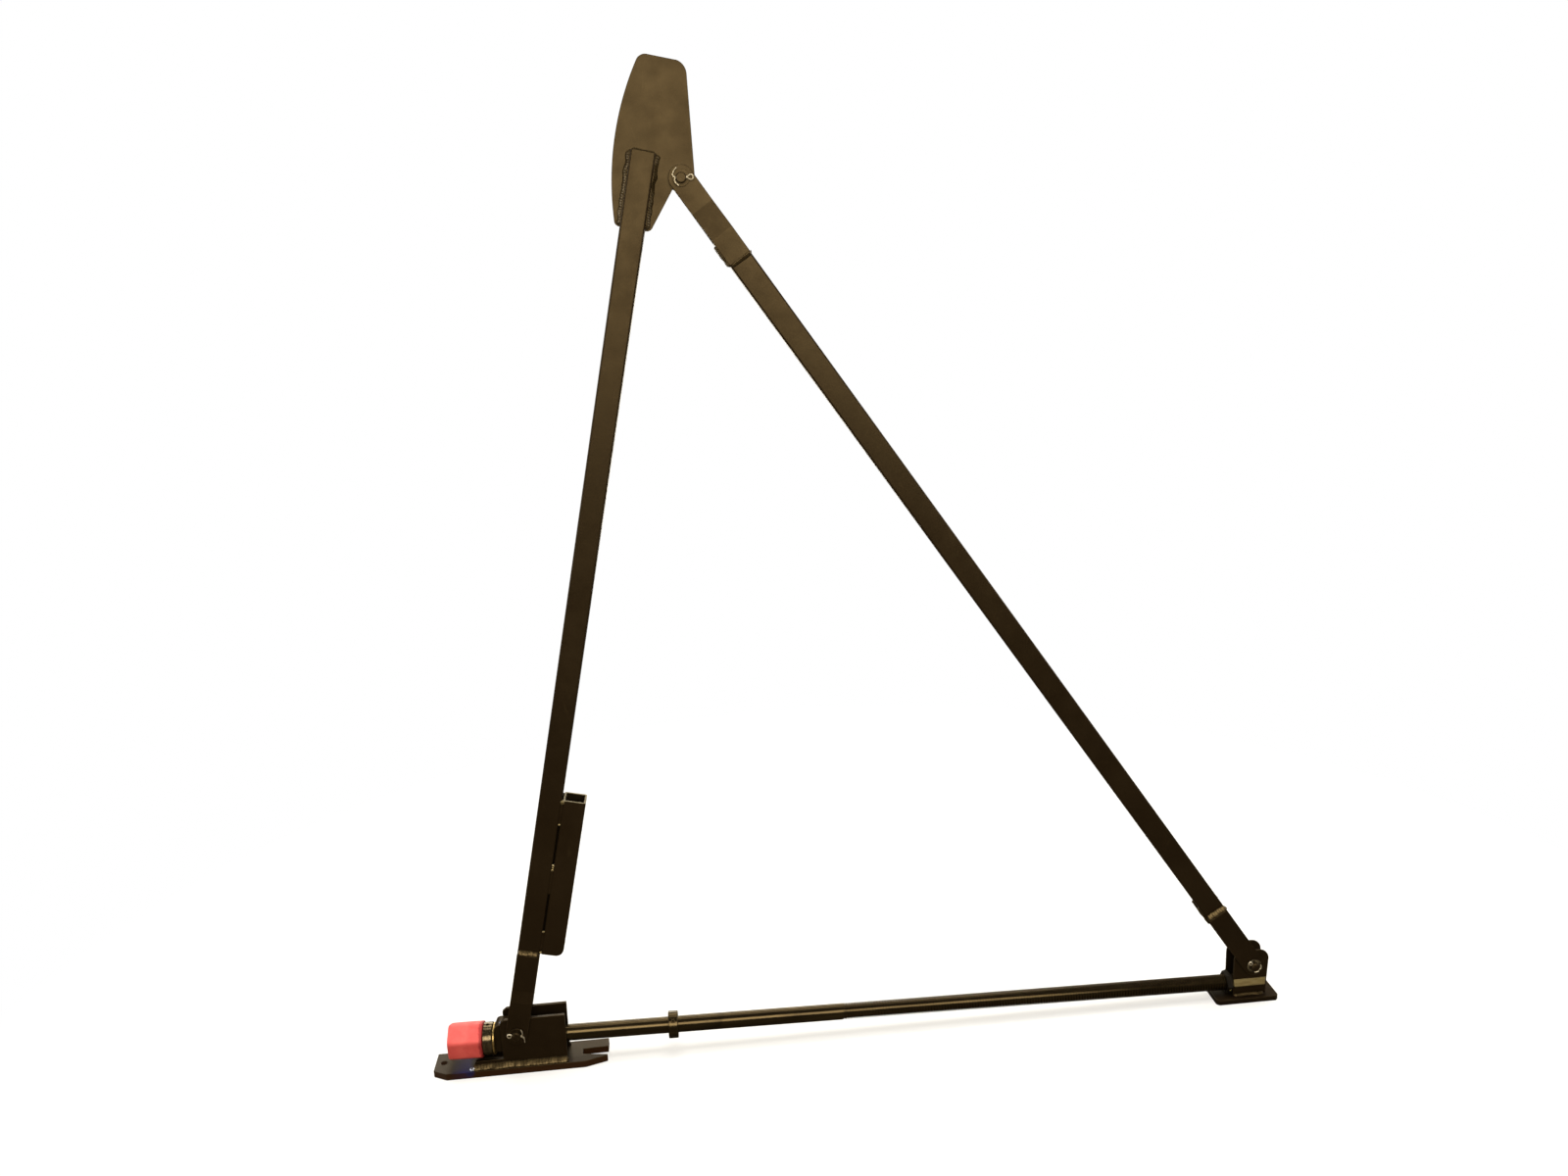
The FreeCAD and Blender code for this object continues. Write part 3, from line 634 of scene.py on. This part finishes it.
bevelled("drive_foot_plate", 0.0010, 3, mat="heat_tinted_paint")
for name in ("drive_foot_side_front", "drive_foot_side_rear", "nut_foot_plate",
             "nut_foot_ear_front", "nut_foot_ear_rear",
             "mast_strap_front", "mast_strap_rear", "brace_upper_strap_front", "brace_upper_strap_rear",
             "brace_lower_strap_front", "brace_lower_strap_rear", "top_plate", "thrust_block"):
    bevelled(name, 0.0008, 2)
for name in ("mast_tube", "brace_tube"):
    bevelled(name, 0.0005, 2)
bevelled("handle_socket", 0.0005, 2, mat="socket_paint")
for name in ("nut_foot_ledge_front", "nut_foot_ledge_rear"):
    bevelled(name, 0.0006, 2, mat="ledge_painted_highlight")
bevelled("drive_nut", 0.0006, 2, mat="nut_painted_shade")
bevelled("stop_collar", 0.0006, 2, mat="oiled_steel")
for name in ("mast_pivot_washers", "apex_pin_washers", "hub_washer", "drive_hub"):
    bevelled(name, 0.0004, 2)
bevelled("brace_foot_washers", 0.0004, 2, mat="worn_washer")


# ---------------------------------------------------------------- screw with its thread

PITCH = 5.08
MAJOR, MINOR = 14.29, 11.9
THREAD_0, THREAD_1 = 581.0, 1349.0
SHOULDER = 25.8
JOURNAL_START, JOURNAL_R = -114.0, 9.52
STATION_GAP = 30        # between the rings of the plain shaft


def screw_piece():
    """Turned journal, smooth shaft and trapezoidal thread, about the screw's own axis."""
    seg = 48
    shaft = [(JOURNAL_START, 8.6), (JOURNAL_START + 1.0, JOURNAL_R), (SHOULDER - 0.4, JOURNAL_R),
             (SHOULDER, 9.7), (SHOULDER, MAJOR - 0.8), (SHOULDER + 0.8, MAJOR)]
    x = SHOULDER + STATION_GAP
    while x < THREAD_0 - 2:
        shaft.append((x, MAJOR))
        x += STATION_GAP
    shaft += [(THREAD_0 - 0.8, MAJOR), (THREAD_0 + 0.8, MINOR - 0.25)]
    parts = [lathe(shaft, seg)]
    # one turn's profile: root, rising flank, crest, falling flank
    profile = ((0.0, 0.0), (0.30, 0.0), (0.345, 0.12), (0.42, 0.88), (0.465, 1.0),
               (0.80, 1.0), (0.845, 0.88), (0.92, 0.12), (0.965, 0.0), (1.0, 0.0))
    turns = (THREAD_1 - THREAD_0) / PITCH
    steps = int(turns * seg)
    verts = []
    for i in range(steps + 1):
        a = 2 * math.pi * i / seg
        along = THREAD_0 + PITCH * (i / seg - 0.5)
        rise = min(1.0, (i / seg) / 0.9)
        for off, h in profile:
            px = min(max(along + off * PITCH, THREAD_0 - 0.3), THREAD_1)
            worn = 0.05 * noise.noise(Vector((px * 0.05, a, 2.0)))
            end_cut = max(0.0, (px - (THREAD_1 - 2.6)))
            root = MINOR + (MAJOR - MINOR) * (1 - rise) * 0.95
            r = min(root + (MAJOR - root) * h + worn * h, MAJOR) - end_cut
            verts.append(Vector((px, r * math.cos(a), r * math.sin(a))))
    parts.append((verts, rows_to_faces(steps + 1, len(profile), False)))
    core, end_face = MINOR - 1.2, MINOR - 2.0
    parts.append(lathe([(THREAD_1 - 8.0, core), (THREAD_1 - 0.1, core), (THREAD_1, end_face)], seg))
    parts.append(lathe([(THREAD_1 - 4.0, end_face), (THREAD_1 - 0.05, MAJOR - 2.62)], seg))
    verts, faces = placed(merged(parts), SCREW)
    obj = add_object("drive_screw_thread", verts, faces, "oiled_steel")
    split_sharp(obj, 38)
    return finish_piece(obj, "screw", "oiled_steel", "drive_screw")


screw_piece()


# ---------------------------------------------------------------- red cap

CAP_END, CAP_MOUTH = -121.8, -62.1
CAP_TURN = 25.0         # how far its corners are turned about the screw, deg
MOUTH_HALF = 22.6       # half its inside width at the mouth
CAVITY_AF, CAVITY_END = 44.6, -114.7


def cap_outline(af, corner_deg, radius, steps=7):
    """Hexagon with round corners as (y, z) points, from the front."""
    r = af / math.sqrt(3.0)
    inset = radius / math.cos(math.radians(30))
    pts = []
    for k in range(6):
        a = math.radians(corner_deg + 60 * k)
        c = (-(r - inset) * math.cos(a), (r - inset) * math.sin(a))
        for j in range(steps + 1):
            b = a - math.radians(30) + math.radians(60) * j / steps
            pts.append((c[0] - radius * math.cos(b), c[1] + radius * math.sin(b)))
    return pts


def hub_cap():
    """Moulded cover, slightly uneven, with a hexagonal cavity for the hub's end."""
    x0, x1 = CAP_END, CAP_MOUTH
    stations = ((x1, MOUTH_HALF), (x1, 28.6), (x1 - 0.4, 29.7), (x1 - 1.4, 30.05), (x1 - 6, 29.9),
                (x1 - 12, 29.95), (x1 - 20, 30.05), (x1 - 32, 30.0), (x1 - 44, 29.95), (x0 + 6.0, 29.9),
                (x0 + 2.4, 29.6), (x0 + 0.8, 28.9), (x0 + 0.1, 27.8), (x0, 26.4), (x0, 10.0))
    verts = []
    for x, half in stations:
        ring = cap_outline(2 * half, CAP_TURN, min(11.0, half * 0.40))
        for y, z in ring:
            uneven = noise.noise(Vector((x * 0.05, y * 0.07, z * 0.07)))
            push = 1 + (0.012 * uneven - 0.004 if half > MOUTH_HALF else 0.0)
            verts.append(Vector((x, y * push, z * push)))
    cols = len(ring)
    faces = rows_to_faces(len(stations), cols)
    faces.append(tuple(reversed(range((len(stations) - 1) * cols, len(stations) * cols))))
    # inner wall, so that the mouth has thickness
    base = len(verts)
    inner = (x1, -66.0, -90.0, CAVITY_END)
    for x in inner:
        for y, z in cap_outline(CAVITY_AF, CAP_TURN, 4.0):
            verts.append(Vector((x, y, z)))
    faces += rows_to_faces(len(inner), cols, True, base)
    for j in range(cols):
        k = (j + 1) % cols
        faces.append((j, base + j, base + k, k))
    faces.append(tuple(range(base + 3 * cols, base + 4 * cols)))
    verts, faces = placed((verts, faces), SCREW)
    obj = add_object("hub_cap_cover", verts, faces, "red_plastic")
    return finish_piece(obj, "screw", "red_plastic", "hub_cap")


hub_cap()


# ---------------------------------------------------------------- hinge pins and cotters

def pin_piece(node, pivot, y_front, y_head):
    """Turned pin with a chamfered nose at the front and a low domed head behind."""
    shank = [(y_front, 6.4), (y_front + 0.5, 7.0), (y_front + 1.4, 7.9), (y_head - 0.2, 7.9), (y_head, 8.3)]
    head = [(y_head, 12.0), (y_head + 0.5, 12.5), (y_head + 3.6, 12.5), (y_head + 4.6, 11.6),
            (y_head + 5.0, 10.0)]
    verts, faces = lathe(shank + head, 40)
    turned = Matrix.Translation(pivot) @ Matrix.Rotation(math.radians(90), 4, "Z")
    verts = [turned @ v for v in verts]
    verts, faces = placed((verts, faces), WORLD)
    obj = add_object(node + "_turned", verts, faces, "pin_steel")
    split_sharp(obj, 35)
    return finish_piece(obj, BODY_OF[node], SLOT_OF[node], node)


pin_piece("mast_pivot_pin", MAST_PIVOT, -37.2, 31.0)
pin_piece("brace_foot_pin", BRACE_PIVOT, -33.7, 27.5)
pin_piece("apex_pin", APEX, -23.0, 14.4)


def spline_value(a, b, c, d, t):
    """Catmull-Rom value at t between b and c."""
    square = (2 * a - 5 * b + 4 * c - d) * t * t
    cube = (3 * b - a - 3 * c + d) * t ** 3
    return 0.5 * (2 * b + (c - a) * t + square + cube)


def smooth_path(points, steps=6):
    """Smooth curve through (x, z) points."""
    ends = [points[0]] + list(points) + [points[-1]]
    out = []
    for a, b, c, d in zip(ends, ends[1:], ends[2:], ends[3:]):
        for k in range(steps):
            out.append(tuple(spline_value(a[i], b[i], c[i], d[i], k / steps) for i in (0, 1)))
    out.append(tuple(points[-1]))
    return out


def half_round_wire(path, side, radius):
    """Wire of D section along (x, z) points, its flat face on the path and its round face outside."""
    arc = 9
    verts = []
    last = len(path) - 1
    for i, (x, z) in enumerate(path):
        ahead, behind = path[min(i + 1, last)], path[max(i - 1, 0)]
        tx, tz = ahead[0] - behind[0], ahead[1] - behind[1]
        size = math.hypot(tx, tz)
        nx, nz = -side * tz / size, side * tx / size
        tip = 0.72 if i in (0, last) else 1.0
        for j in range(arc):
            a = math.pi * j / (arc - 1)
            out = radius * tip * math.sin(a) * 0.95
            verts.append(Vector((x + nx * out, radius * tip * math.cos(a), z + nz * out)))
    return verts, capped_rows(last + 1, arc)


COTTER_R = 1.6
WIRE_GAP = 0.12         # from the middle of the cotter to the flat of each wire


def cotter_piece(node, pivot, y, turn, eye_x, ring, legs):
    """Split pin: two half-round wires meeting in an eye, laid through the pin and bent apart.

    y is its depth, turn how far it is turned about the pin in degrees, eye_x and ring the place
    and radius of its eye, and legs the points that the two bent ends pass through.
    """
    parts = []
    for side, bent in zip((-1, 1), legs):
        flat = side * WIRE_GAP
        eye = ((eye_x - ring, side * 0.1), (eye_x - 0.75 * ring, side * 0.7 * ring),
               (eye_x, side * ring), (eye_x + 0.75 * ring, side * 0.7 * ring),
               (eye_x + 1.5 * ring, side * 0.5))
        path = smooth_path(eye + ((-6.4, flat), (0.0, flat), (7.6, flat)) + tuple(bent))
        parts.append(half_round_wire(path, side, COTTER_R))
    matrix = Matrix.Translation(pivot + Vector((0, y, 0))) @ Matrix.Rotation(math.radians(turn), 4, "Y")
    verts, faces = merged(parts)
    verts = [matrix @ v for v in verts]
    verts, faces = placed((verts, faces), WORLD)
    obj = add_object(node + "_wire", verts, faces, "zinc")
    split_sharp(obj, 50)
    return finish_piece(obj, BODY_OF[node], SLOT_OF[node], node)


cotter_piece("mast_pivot_cotter", MAST_PIVOT, -33.0, 6.0, -12.0, 3.0,
             (((9.6, -0.5), (12.2, -1.4), (13.9, -3.6), (15.2, -8.0), (15.6, -12.4)),
              ((9.4, 0.6), (10.9, 2.4), (11.3, 4.6), (10.2, 9.2), (8.6, 13.0))))
cotter_piece("brace_foot_cotter", BRACE_PIVOT, -29.5, 40.0, -11.6, 2.4,
             (((9.4, -0.4), (11.0, -1.8), (11.3, -3.6), (9.4, -6.6), (6.8, -9.2)),
              ((9.4, 0.4), (11.0, 1.8), (11.3, 3.6), (9.4, 6.6), (6.8, 9.2))))
cotter_piece("apex_pin_cotter", APEX, -18.8, 180.0, -14.6, 3.1,
             (((9.9, -0.6), (12.0, -2.6), (12.8, -5.6), (10.4, -10.6), (6.8, -15.0)),
              ((9.3, 0.8), (10.2, 2.8), (9.2, 6.6), (6.6, 9.6), (4.0, 12.0))))


# ---------------------------------------------------------------- welds

X, Y, Z = Vector((1, 0, 0)), Vector((0, 1, 0)), Vector((0, 0, 1))
SIDES = (-1, 1)         # front and rear, or left and right


def weld_piece(name, node, parts, matrix, body):
    """Beads of one weldment as one piece, in place of its plain CAD welds."""
    verts, faces = placed(merged(parts), matrix)
    obj = add_object(name, verts, faces, "weld_bead")
    return finish_piece(obj, body, "weld_bead", node)


def spatter(centre, size, up, seed):
    """Small frozen drop of weld: an uneven dome that sinks into the surface under it, in mm."""
    across = up.orthogonal().normalized()
    along = up.cross(across)
    rings, cols = 7, 16
    verts = []
    for i in range(rings):
        lift = math.pi * (0.08 + 0.84 * i / (rings - 1))
        for j in range(cols):
            turn = 2 * math.pi * j / cols
            level = across * math.cos(turn) + along * math.sin(turn)
            way = level * math.sin(lift) + up * (-math.cos(lift) * 0.7)
            uneven = 1 + 0.45 * noise.noise(way * 1.7 + Vector((seed, 0.0, 0.0)))
            verts.append(centre + way * (size * uneven))
    return verts, capped_rows(rings, cols)


def bare_drops(name, mat, parts, matrix, body):
    """Weld that the CAD doesn't have, as a piece of its own."""
    verts, faces = placed(merged(parts), matrix)
    obj = add_object(name, verts, faces, mat)
    return finish_piece(obj, body, "weld_bead")


SIDE_OUT, PLATE_TOP = 22.0, 12.7
EAR_OUT, NUT_PLATE_TOP = 18.4, 9.5
STRAP_TOP = 153.0       # upper ends of the mast's straps
PLATE_FACE = 4.77       # half the head plate's thickness
TUBE_TOP = 1497.0
SEAM_X = HALF_TUBE + 1.1    # seam between the mast and the handle socket
UPPER_END, LOWER_END = 146.0, 129.0     # from the brace's pins to the ends of its straps


def drive_foot_welds():
    """Long fillets between the bracket walls and the plate."""
    beads = [bead(Vector((-84, s * SIDE_OUT, PLATE_TOP)), Vector((85.5, s * SIDE_OUT, PLATE_TOP)),
                  Y * s, Z, 9.0, 9.0, 11 + s, 5.4, 0.30, 0.07) for s in SIDES]
    weld_piece("drive_foot_weld_beads", "drive_foot_welds", beads, WORLD, "drive_foot")


def nut_foot_welds():
    """Fillets between the ears and the plate."""
    beads = [bead(Vector((1302, s * EAR_OUT, NUT_PLATE_TOP)), Vector((1359, s * EAR_OUT, NUT_PLATE_TOP)),
                  Y * s, Z, 4.2, 4.2, 21 + s, 3.2, 0.3) for s in SIDES]
    weld_piece("nut_foot_weld_beads", "nut_foot_welds", beads, WORLD, "nut_foot")


def mast_welds():
    """Beads across the strap ends, and the fillets round the head plate."""
    beads = []
    for s in SIDES:
        wall = s * HALF_TUBE
        beads.append(bead(Vector((-18.6, wall, STRAP_TOP)), Vector((18.6, wall, STRAP_TOP)),
                          Z, Y * s, 7.0, 6.0, 41 + s, 9.4, 1.1))
        face = s * PLATE_FACE
        for side in SIDES:
            edge = side * HALF_TUBE
            beads.append(bead(Vector((edge, face, 1385.5)), Vector((edge, face, TUBE_TOP)),
                              X * side, Y * s, 6.2, 8.5, 71 + s + 2 * side, 3.8, 0.55, 0.16))
        beads.append(bead(Vector((-HALF_TUBE + 1, face, TUBE_TOP)), Vector((HALF_TUBE - 1, face, TUBE_TOP)),
                          Z, Y * s, 3.2, 5.0, 81 + s, 3.4, 0.4, 0.15))
    weld_piece("mast_weld_beads", "mast_welds", beads, MAST, "mast")


def brace_welds():
    """Beads across the strap ends, and the seam beads down the underside."""
    beads = []
    upper, top_seam = BRACE_LEN - UPPER_END, BRACE_LEN - 110.0
    for s in SIDES:
        side = s * HALF_TUBE
        beads.append(bead(Vector((-19, side, LOWER_END)), Vector((21.5, side, LOWER_END)),
                          Z, Y * s, 9.0, 6.0, 91 + s, 4.6, 0.5))
        beads.append(bead(Vector((-19, side, upper)), Vector((21, side, upper)),
                          -Z, Y * s, 6.0, 6.3, 95 + s, 3.2, 0.4, bulge=1.3))
        # along the upper strap, and past the tube's lower end
        beads.append(flat_bead(Vector((-HALF_TUBE, side, top_seam - 38)),
                               Vector((-HALF_TUBE, side, top_seam)),
                               Y, -X, 4.3, 3.3, 101 + s, 4.0, 0.4))
        inset = s * (HALF_TUBE - 6)
        beads.append(flat_bead(Vector((-HALF_TUBE, inset, 117)), Vector((-HALF_TUBE, inset, 158)),
                               Y, -X, 3.8, 3.4, 105 + s, 4.0, 0.4))
    weld_piece("brace_weld_beads", "brace_welds", beads, BRACE, "brace")


def weld_drops():
    """Drops that stayed bright on the two feet and along the handle socket's seam."""
    blue = [spatter(Vector((-85.0, -26.3, 13.6)), 4.6, Z, 1.0),
            spatter(Vector((-81.5, -25.0, 15.2)), 4.4, Z, 2.0),
            spatter(Vector((-28.0, -21.0, 98.6)), 2.4, -X, 3.0)]
    bare_drops("drive_foot_drops", "blue_weld", blue, WORLD, "drive_foot")
    bare_drops("nut_foot_drops", "straw_weld", [spatter(Vector((1296.0, -18.2, 21.0)), 1.5, -Y, 4.0)],
               WORLD, "nut_foot")
    straw = []
    for i, along in enumerate((402.5, 326.0, 321.5, 317.5, 199.5, 159.5)):
        straw.append(spatter(Vector((HALF_TUBE + 1.4, -HALF_TUBE + 0.4, along)), 2.3 + 0.3 * (i % 2),
                             -Y, 6.0 + i))
    straw.append(spatter(Vector((HALF_TUBE + 1.2, -HALF_TUBE - 0.2, 444.0)), 3.6, -Y, 21.0))
    bare_drops("mast_drops", "straw_weld", straw, MAST, "mast")


def mast_stitches():
    """Stitches over the seam between the mast and the handle socket, painted over."""
    parts = []
    for s in SIDES:
        depth = s * (HALF_TUBE - 3.2)
        for i, (low, high) in enumerate(((402, 446), (270, 327), (158, 200))):
            parts.append(flat_bead(Vector((SEAM_X, depth, low)), Vector((SEAM_X, depth, high)),
                                   X, Y * s, 3.4, 2.4, 51 + s + 3 * i, 4.4, 0.25))
        # filler that closes the seam between the stitches, set back from the faces
        depth = s * (HALF_TUBE - 9.0)
        parts.append(flat_bead(Vector((SEAM_X, depth, 157.0)), Vector((SEAM_X, depth, SOCKET_TOP - 1.0)),
                               X, Y * s, 1.6, 2.2, 61 + s, 5.0, 0.2))
    bare_drops("mast_stitches", "dark_paint", parts, MAST, "mast")


drive_foot_welds()
nut_foot_welds()
mast_welds()
brace_welds()
weld_drops()
mast_stitches()


# ---------------------------------------------------------------- remaining CAD nodes keep their shape

for node, obj in NODES.items():
    obj.data.materials.clear()
    obj.data.materials.append(MATS[SLOT_OF[node]])


# ---------------------------------------------------------------- stage, light and camera

PALE = (0.90, 0.895, 0.885)
FLOOR_REFLECTED = (0.09, 0.078, 0.060)
WHITE = (1.0, 1.0, 1.0, 1)


def floor_material():
    """White to the camera and fading into the white surround; a dull mid tone in reflections."""
    mat = bpy.data.materials.new("pale_floor")
    mat.use_nodes = True
    mat.node_tree.nodes.clear()
    n = Nodes(mat.node_tree)
    seen = n.new("ShaderNodeBsdfDiffuse")
    seen.inputs["Color"].default_value = (*PALE, 1)
    surround = n.new("ShaderNodeEmission", Strength=1.0)
    surround.inputs["Color"].default_value = WHITE
    away = n.new("ShaderNodeVectorMath", operation="DISTANCE")
    n.link(n.new("ShaderNodeTexCoord").outputs["Object"], away.inputs[0])
    away.inputs[1].default_value = (0.6, 0.0, 0.0)
    fade = n.new("ShaderNodeMixShader")
    n.link(n.grey(away.outputs["Value"], 0.7, 1.7, 0.5, 1.0), fade.inputs[0])
    n.link(seen.outputs[0], fade.inputs[1])
    n.link(surround.outputs[0], fade.inputs[2])
    dull = n.new("ShaderNodeBsdfDiffuse")
    dull.inputs["Color"].default_value = (*FLOOR_REFLECTED, 1)
    pick = n.new("ShaderNodeMixShader")
    n.link(n.new("ShaderNodeLightPath").outputs["Is Camera Ray"], pick.inputs[0])
    n.link(dull.outputs[0], pick.inputs[1])
    n.link(fade.outputs[0], pick.inputs[2])
    n.link(pick.outputs[0], n.new("ShaderNodeOutputMaterial").inputs[0])
    return mat


def studio_floor(half=9.0):  # metres
    """Plain square floor under and around the object."""
    mesh = bpy.data.meshes.new("floor")
    corners = [(-half, -half, 0), (half, -half, 0), (half, half, 0), (-half, half, 0)]
    mesh.from_pydata(corners, [], [(0, 1, 2, 3)])
    mesh.materials.append(floor_material())
    obj = bpy.data.objects.new("floor", mesh)
    bpy.context.scene.collection.objects.link(obj)


studio_floor()


def panel(name, place, target, size, radiance, colour, glossy=True):
    """Rectangular soft light of even brightness that the camera doesn't see."""
    data = bpy.data.lights.new(name, "AREA")
    data.shape = "RECTANGLE"
    data.size, data.size_y = size
    data.energy = radiance * math.pi * size[0] * size[1]
    data.color = colour
    obj = bpy.data.objects.new(name, data)
    obj.location = place
    obj.rotation_euler = (Vector(target) - Vector(place)).to_track_quat("-Z", "Y").to_euler()
    obj.visible_camera = False
    obj.visible_glossy = glossy
    bpy.context.scene.collection.objects.link(obj)


panel("front_panel", (0.6, -2.3, 1.92), (0.6, 0.0, 1.84), (2.4, 1.7), 6.2, (1.0, 0.90, 0.70))
panel("overhead", (0.5, 0.2, 4.1), (0.5, 0.2, 0.0), (3.0, 2.2), 8.2, (1.0, 0.98, 0.94), False)
panel("overhead_gloss", (0.5, 0.9, 3.6), (0.5, 0.2, 0.0), (2.4, 0.8), 2.2, (1.0, 0.90, 0.74))
panel("left_side", (-2.4, 0.3, 1.4), (0.3, 0.0, 0.7), (1.6, 1.8), 3.6, (1.0, 0.94, 0.82))
panel("right_side", (3.6, 0.5, 1.6), (0.8, 0.0, 0.7), (1.6, 1.8), 3.6, (1.0, 0.94, 0.82))
# the back is lit from below and above the height that the plates' top faces mirror to the camera
panel("back_low", (0.6, 2.6, 0.72), (0.6, 0.0, 0.72), (2.8, 1.1), 4.0, (1.0, 0.92, 0.76))
panel("back_high", (0.6, 2.3, 2.9), (0.6, 0.0, 1.3), (2.8, 0.9), 4.5, (1.0, 0.92, 0.76))


def surround():
    """White to the camera, dim and warm to everything else."""
    world = bpy.data.worlds.new("studio")
    world.use_nodes = True
    world.node_tree.nodes.clear()
    n = Nodes(world.node_tree)
    white = n.new("ShaderNodeBackground", Strength=1.0)
    white.inputs["Color"].default_value = WHITE
    dim = n.new("ShaderNodeBackground", Strength=0.07)
    dim.inputs["Color"].default_value = (1.0, 0.90, 0.76, 1)
    pick = n.new("ShaderNodeMixShader")
    n.link(n.new("ShaderNodeLightPath").outputs["Is Camera Ray"], pick.inputs[0])
    n.link(dim.outputs[0], pick.inputs[1])
    n.link(white.outputs[0], pick.inputs[2])
    n.link(pick.outputs[0], n.new("ShaderNodeOutputWorld").inputs[0])
    bpy.context.scene.world = world


def camera():
    """Eye-level camera in front of the apex, tilted down, turned slightly right and rolled a little."""
    data = bpy.data.cameras.new("camera")
    data.sensor_width = 36.0
    data.lens = 29.115
    data.clip_end = 60
    obj = bpy.data.objects.new("camera", data)
    obj.location = (0.37839, -2.01614, 1.38009)
    obj.rotation_euler = [math.radians(a) for a in (75.0911, 3.0782, -4.7123)]
    bpy.context.scene.collection.objects.link(obj)
    bpy.context.scene.camera = obj


surround()
camera()
bpy.context.scene.view_settings.view_transform = "Standard"
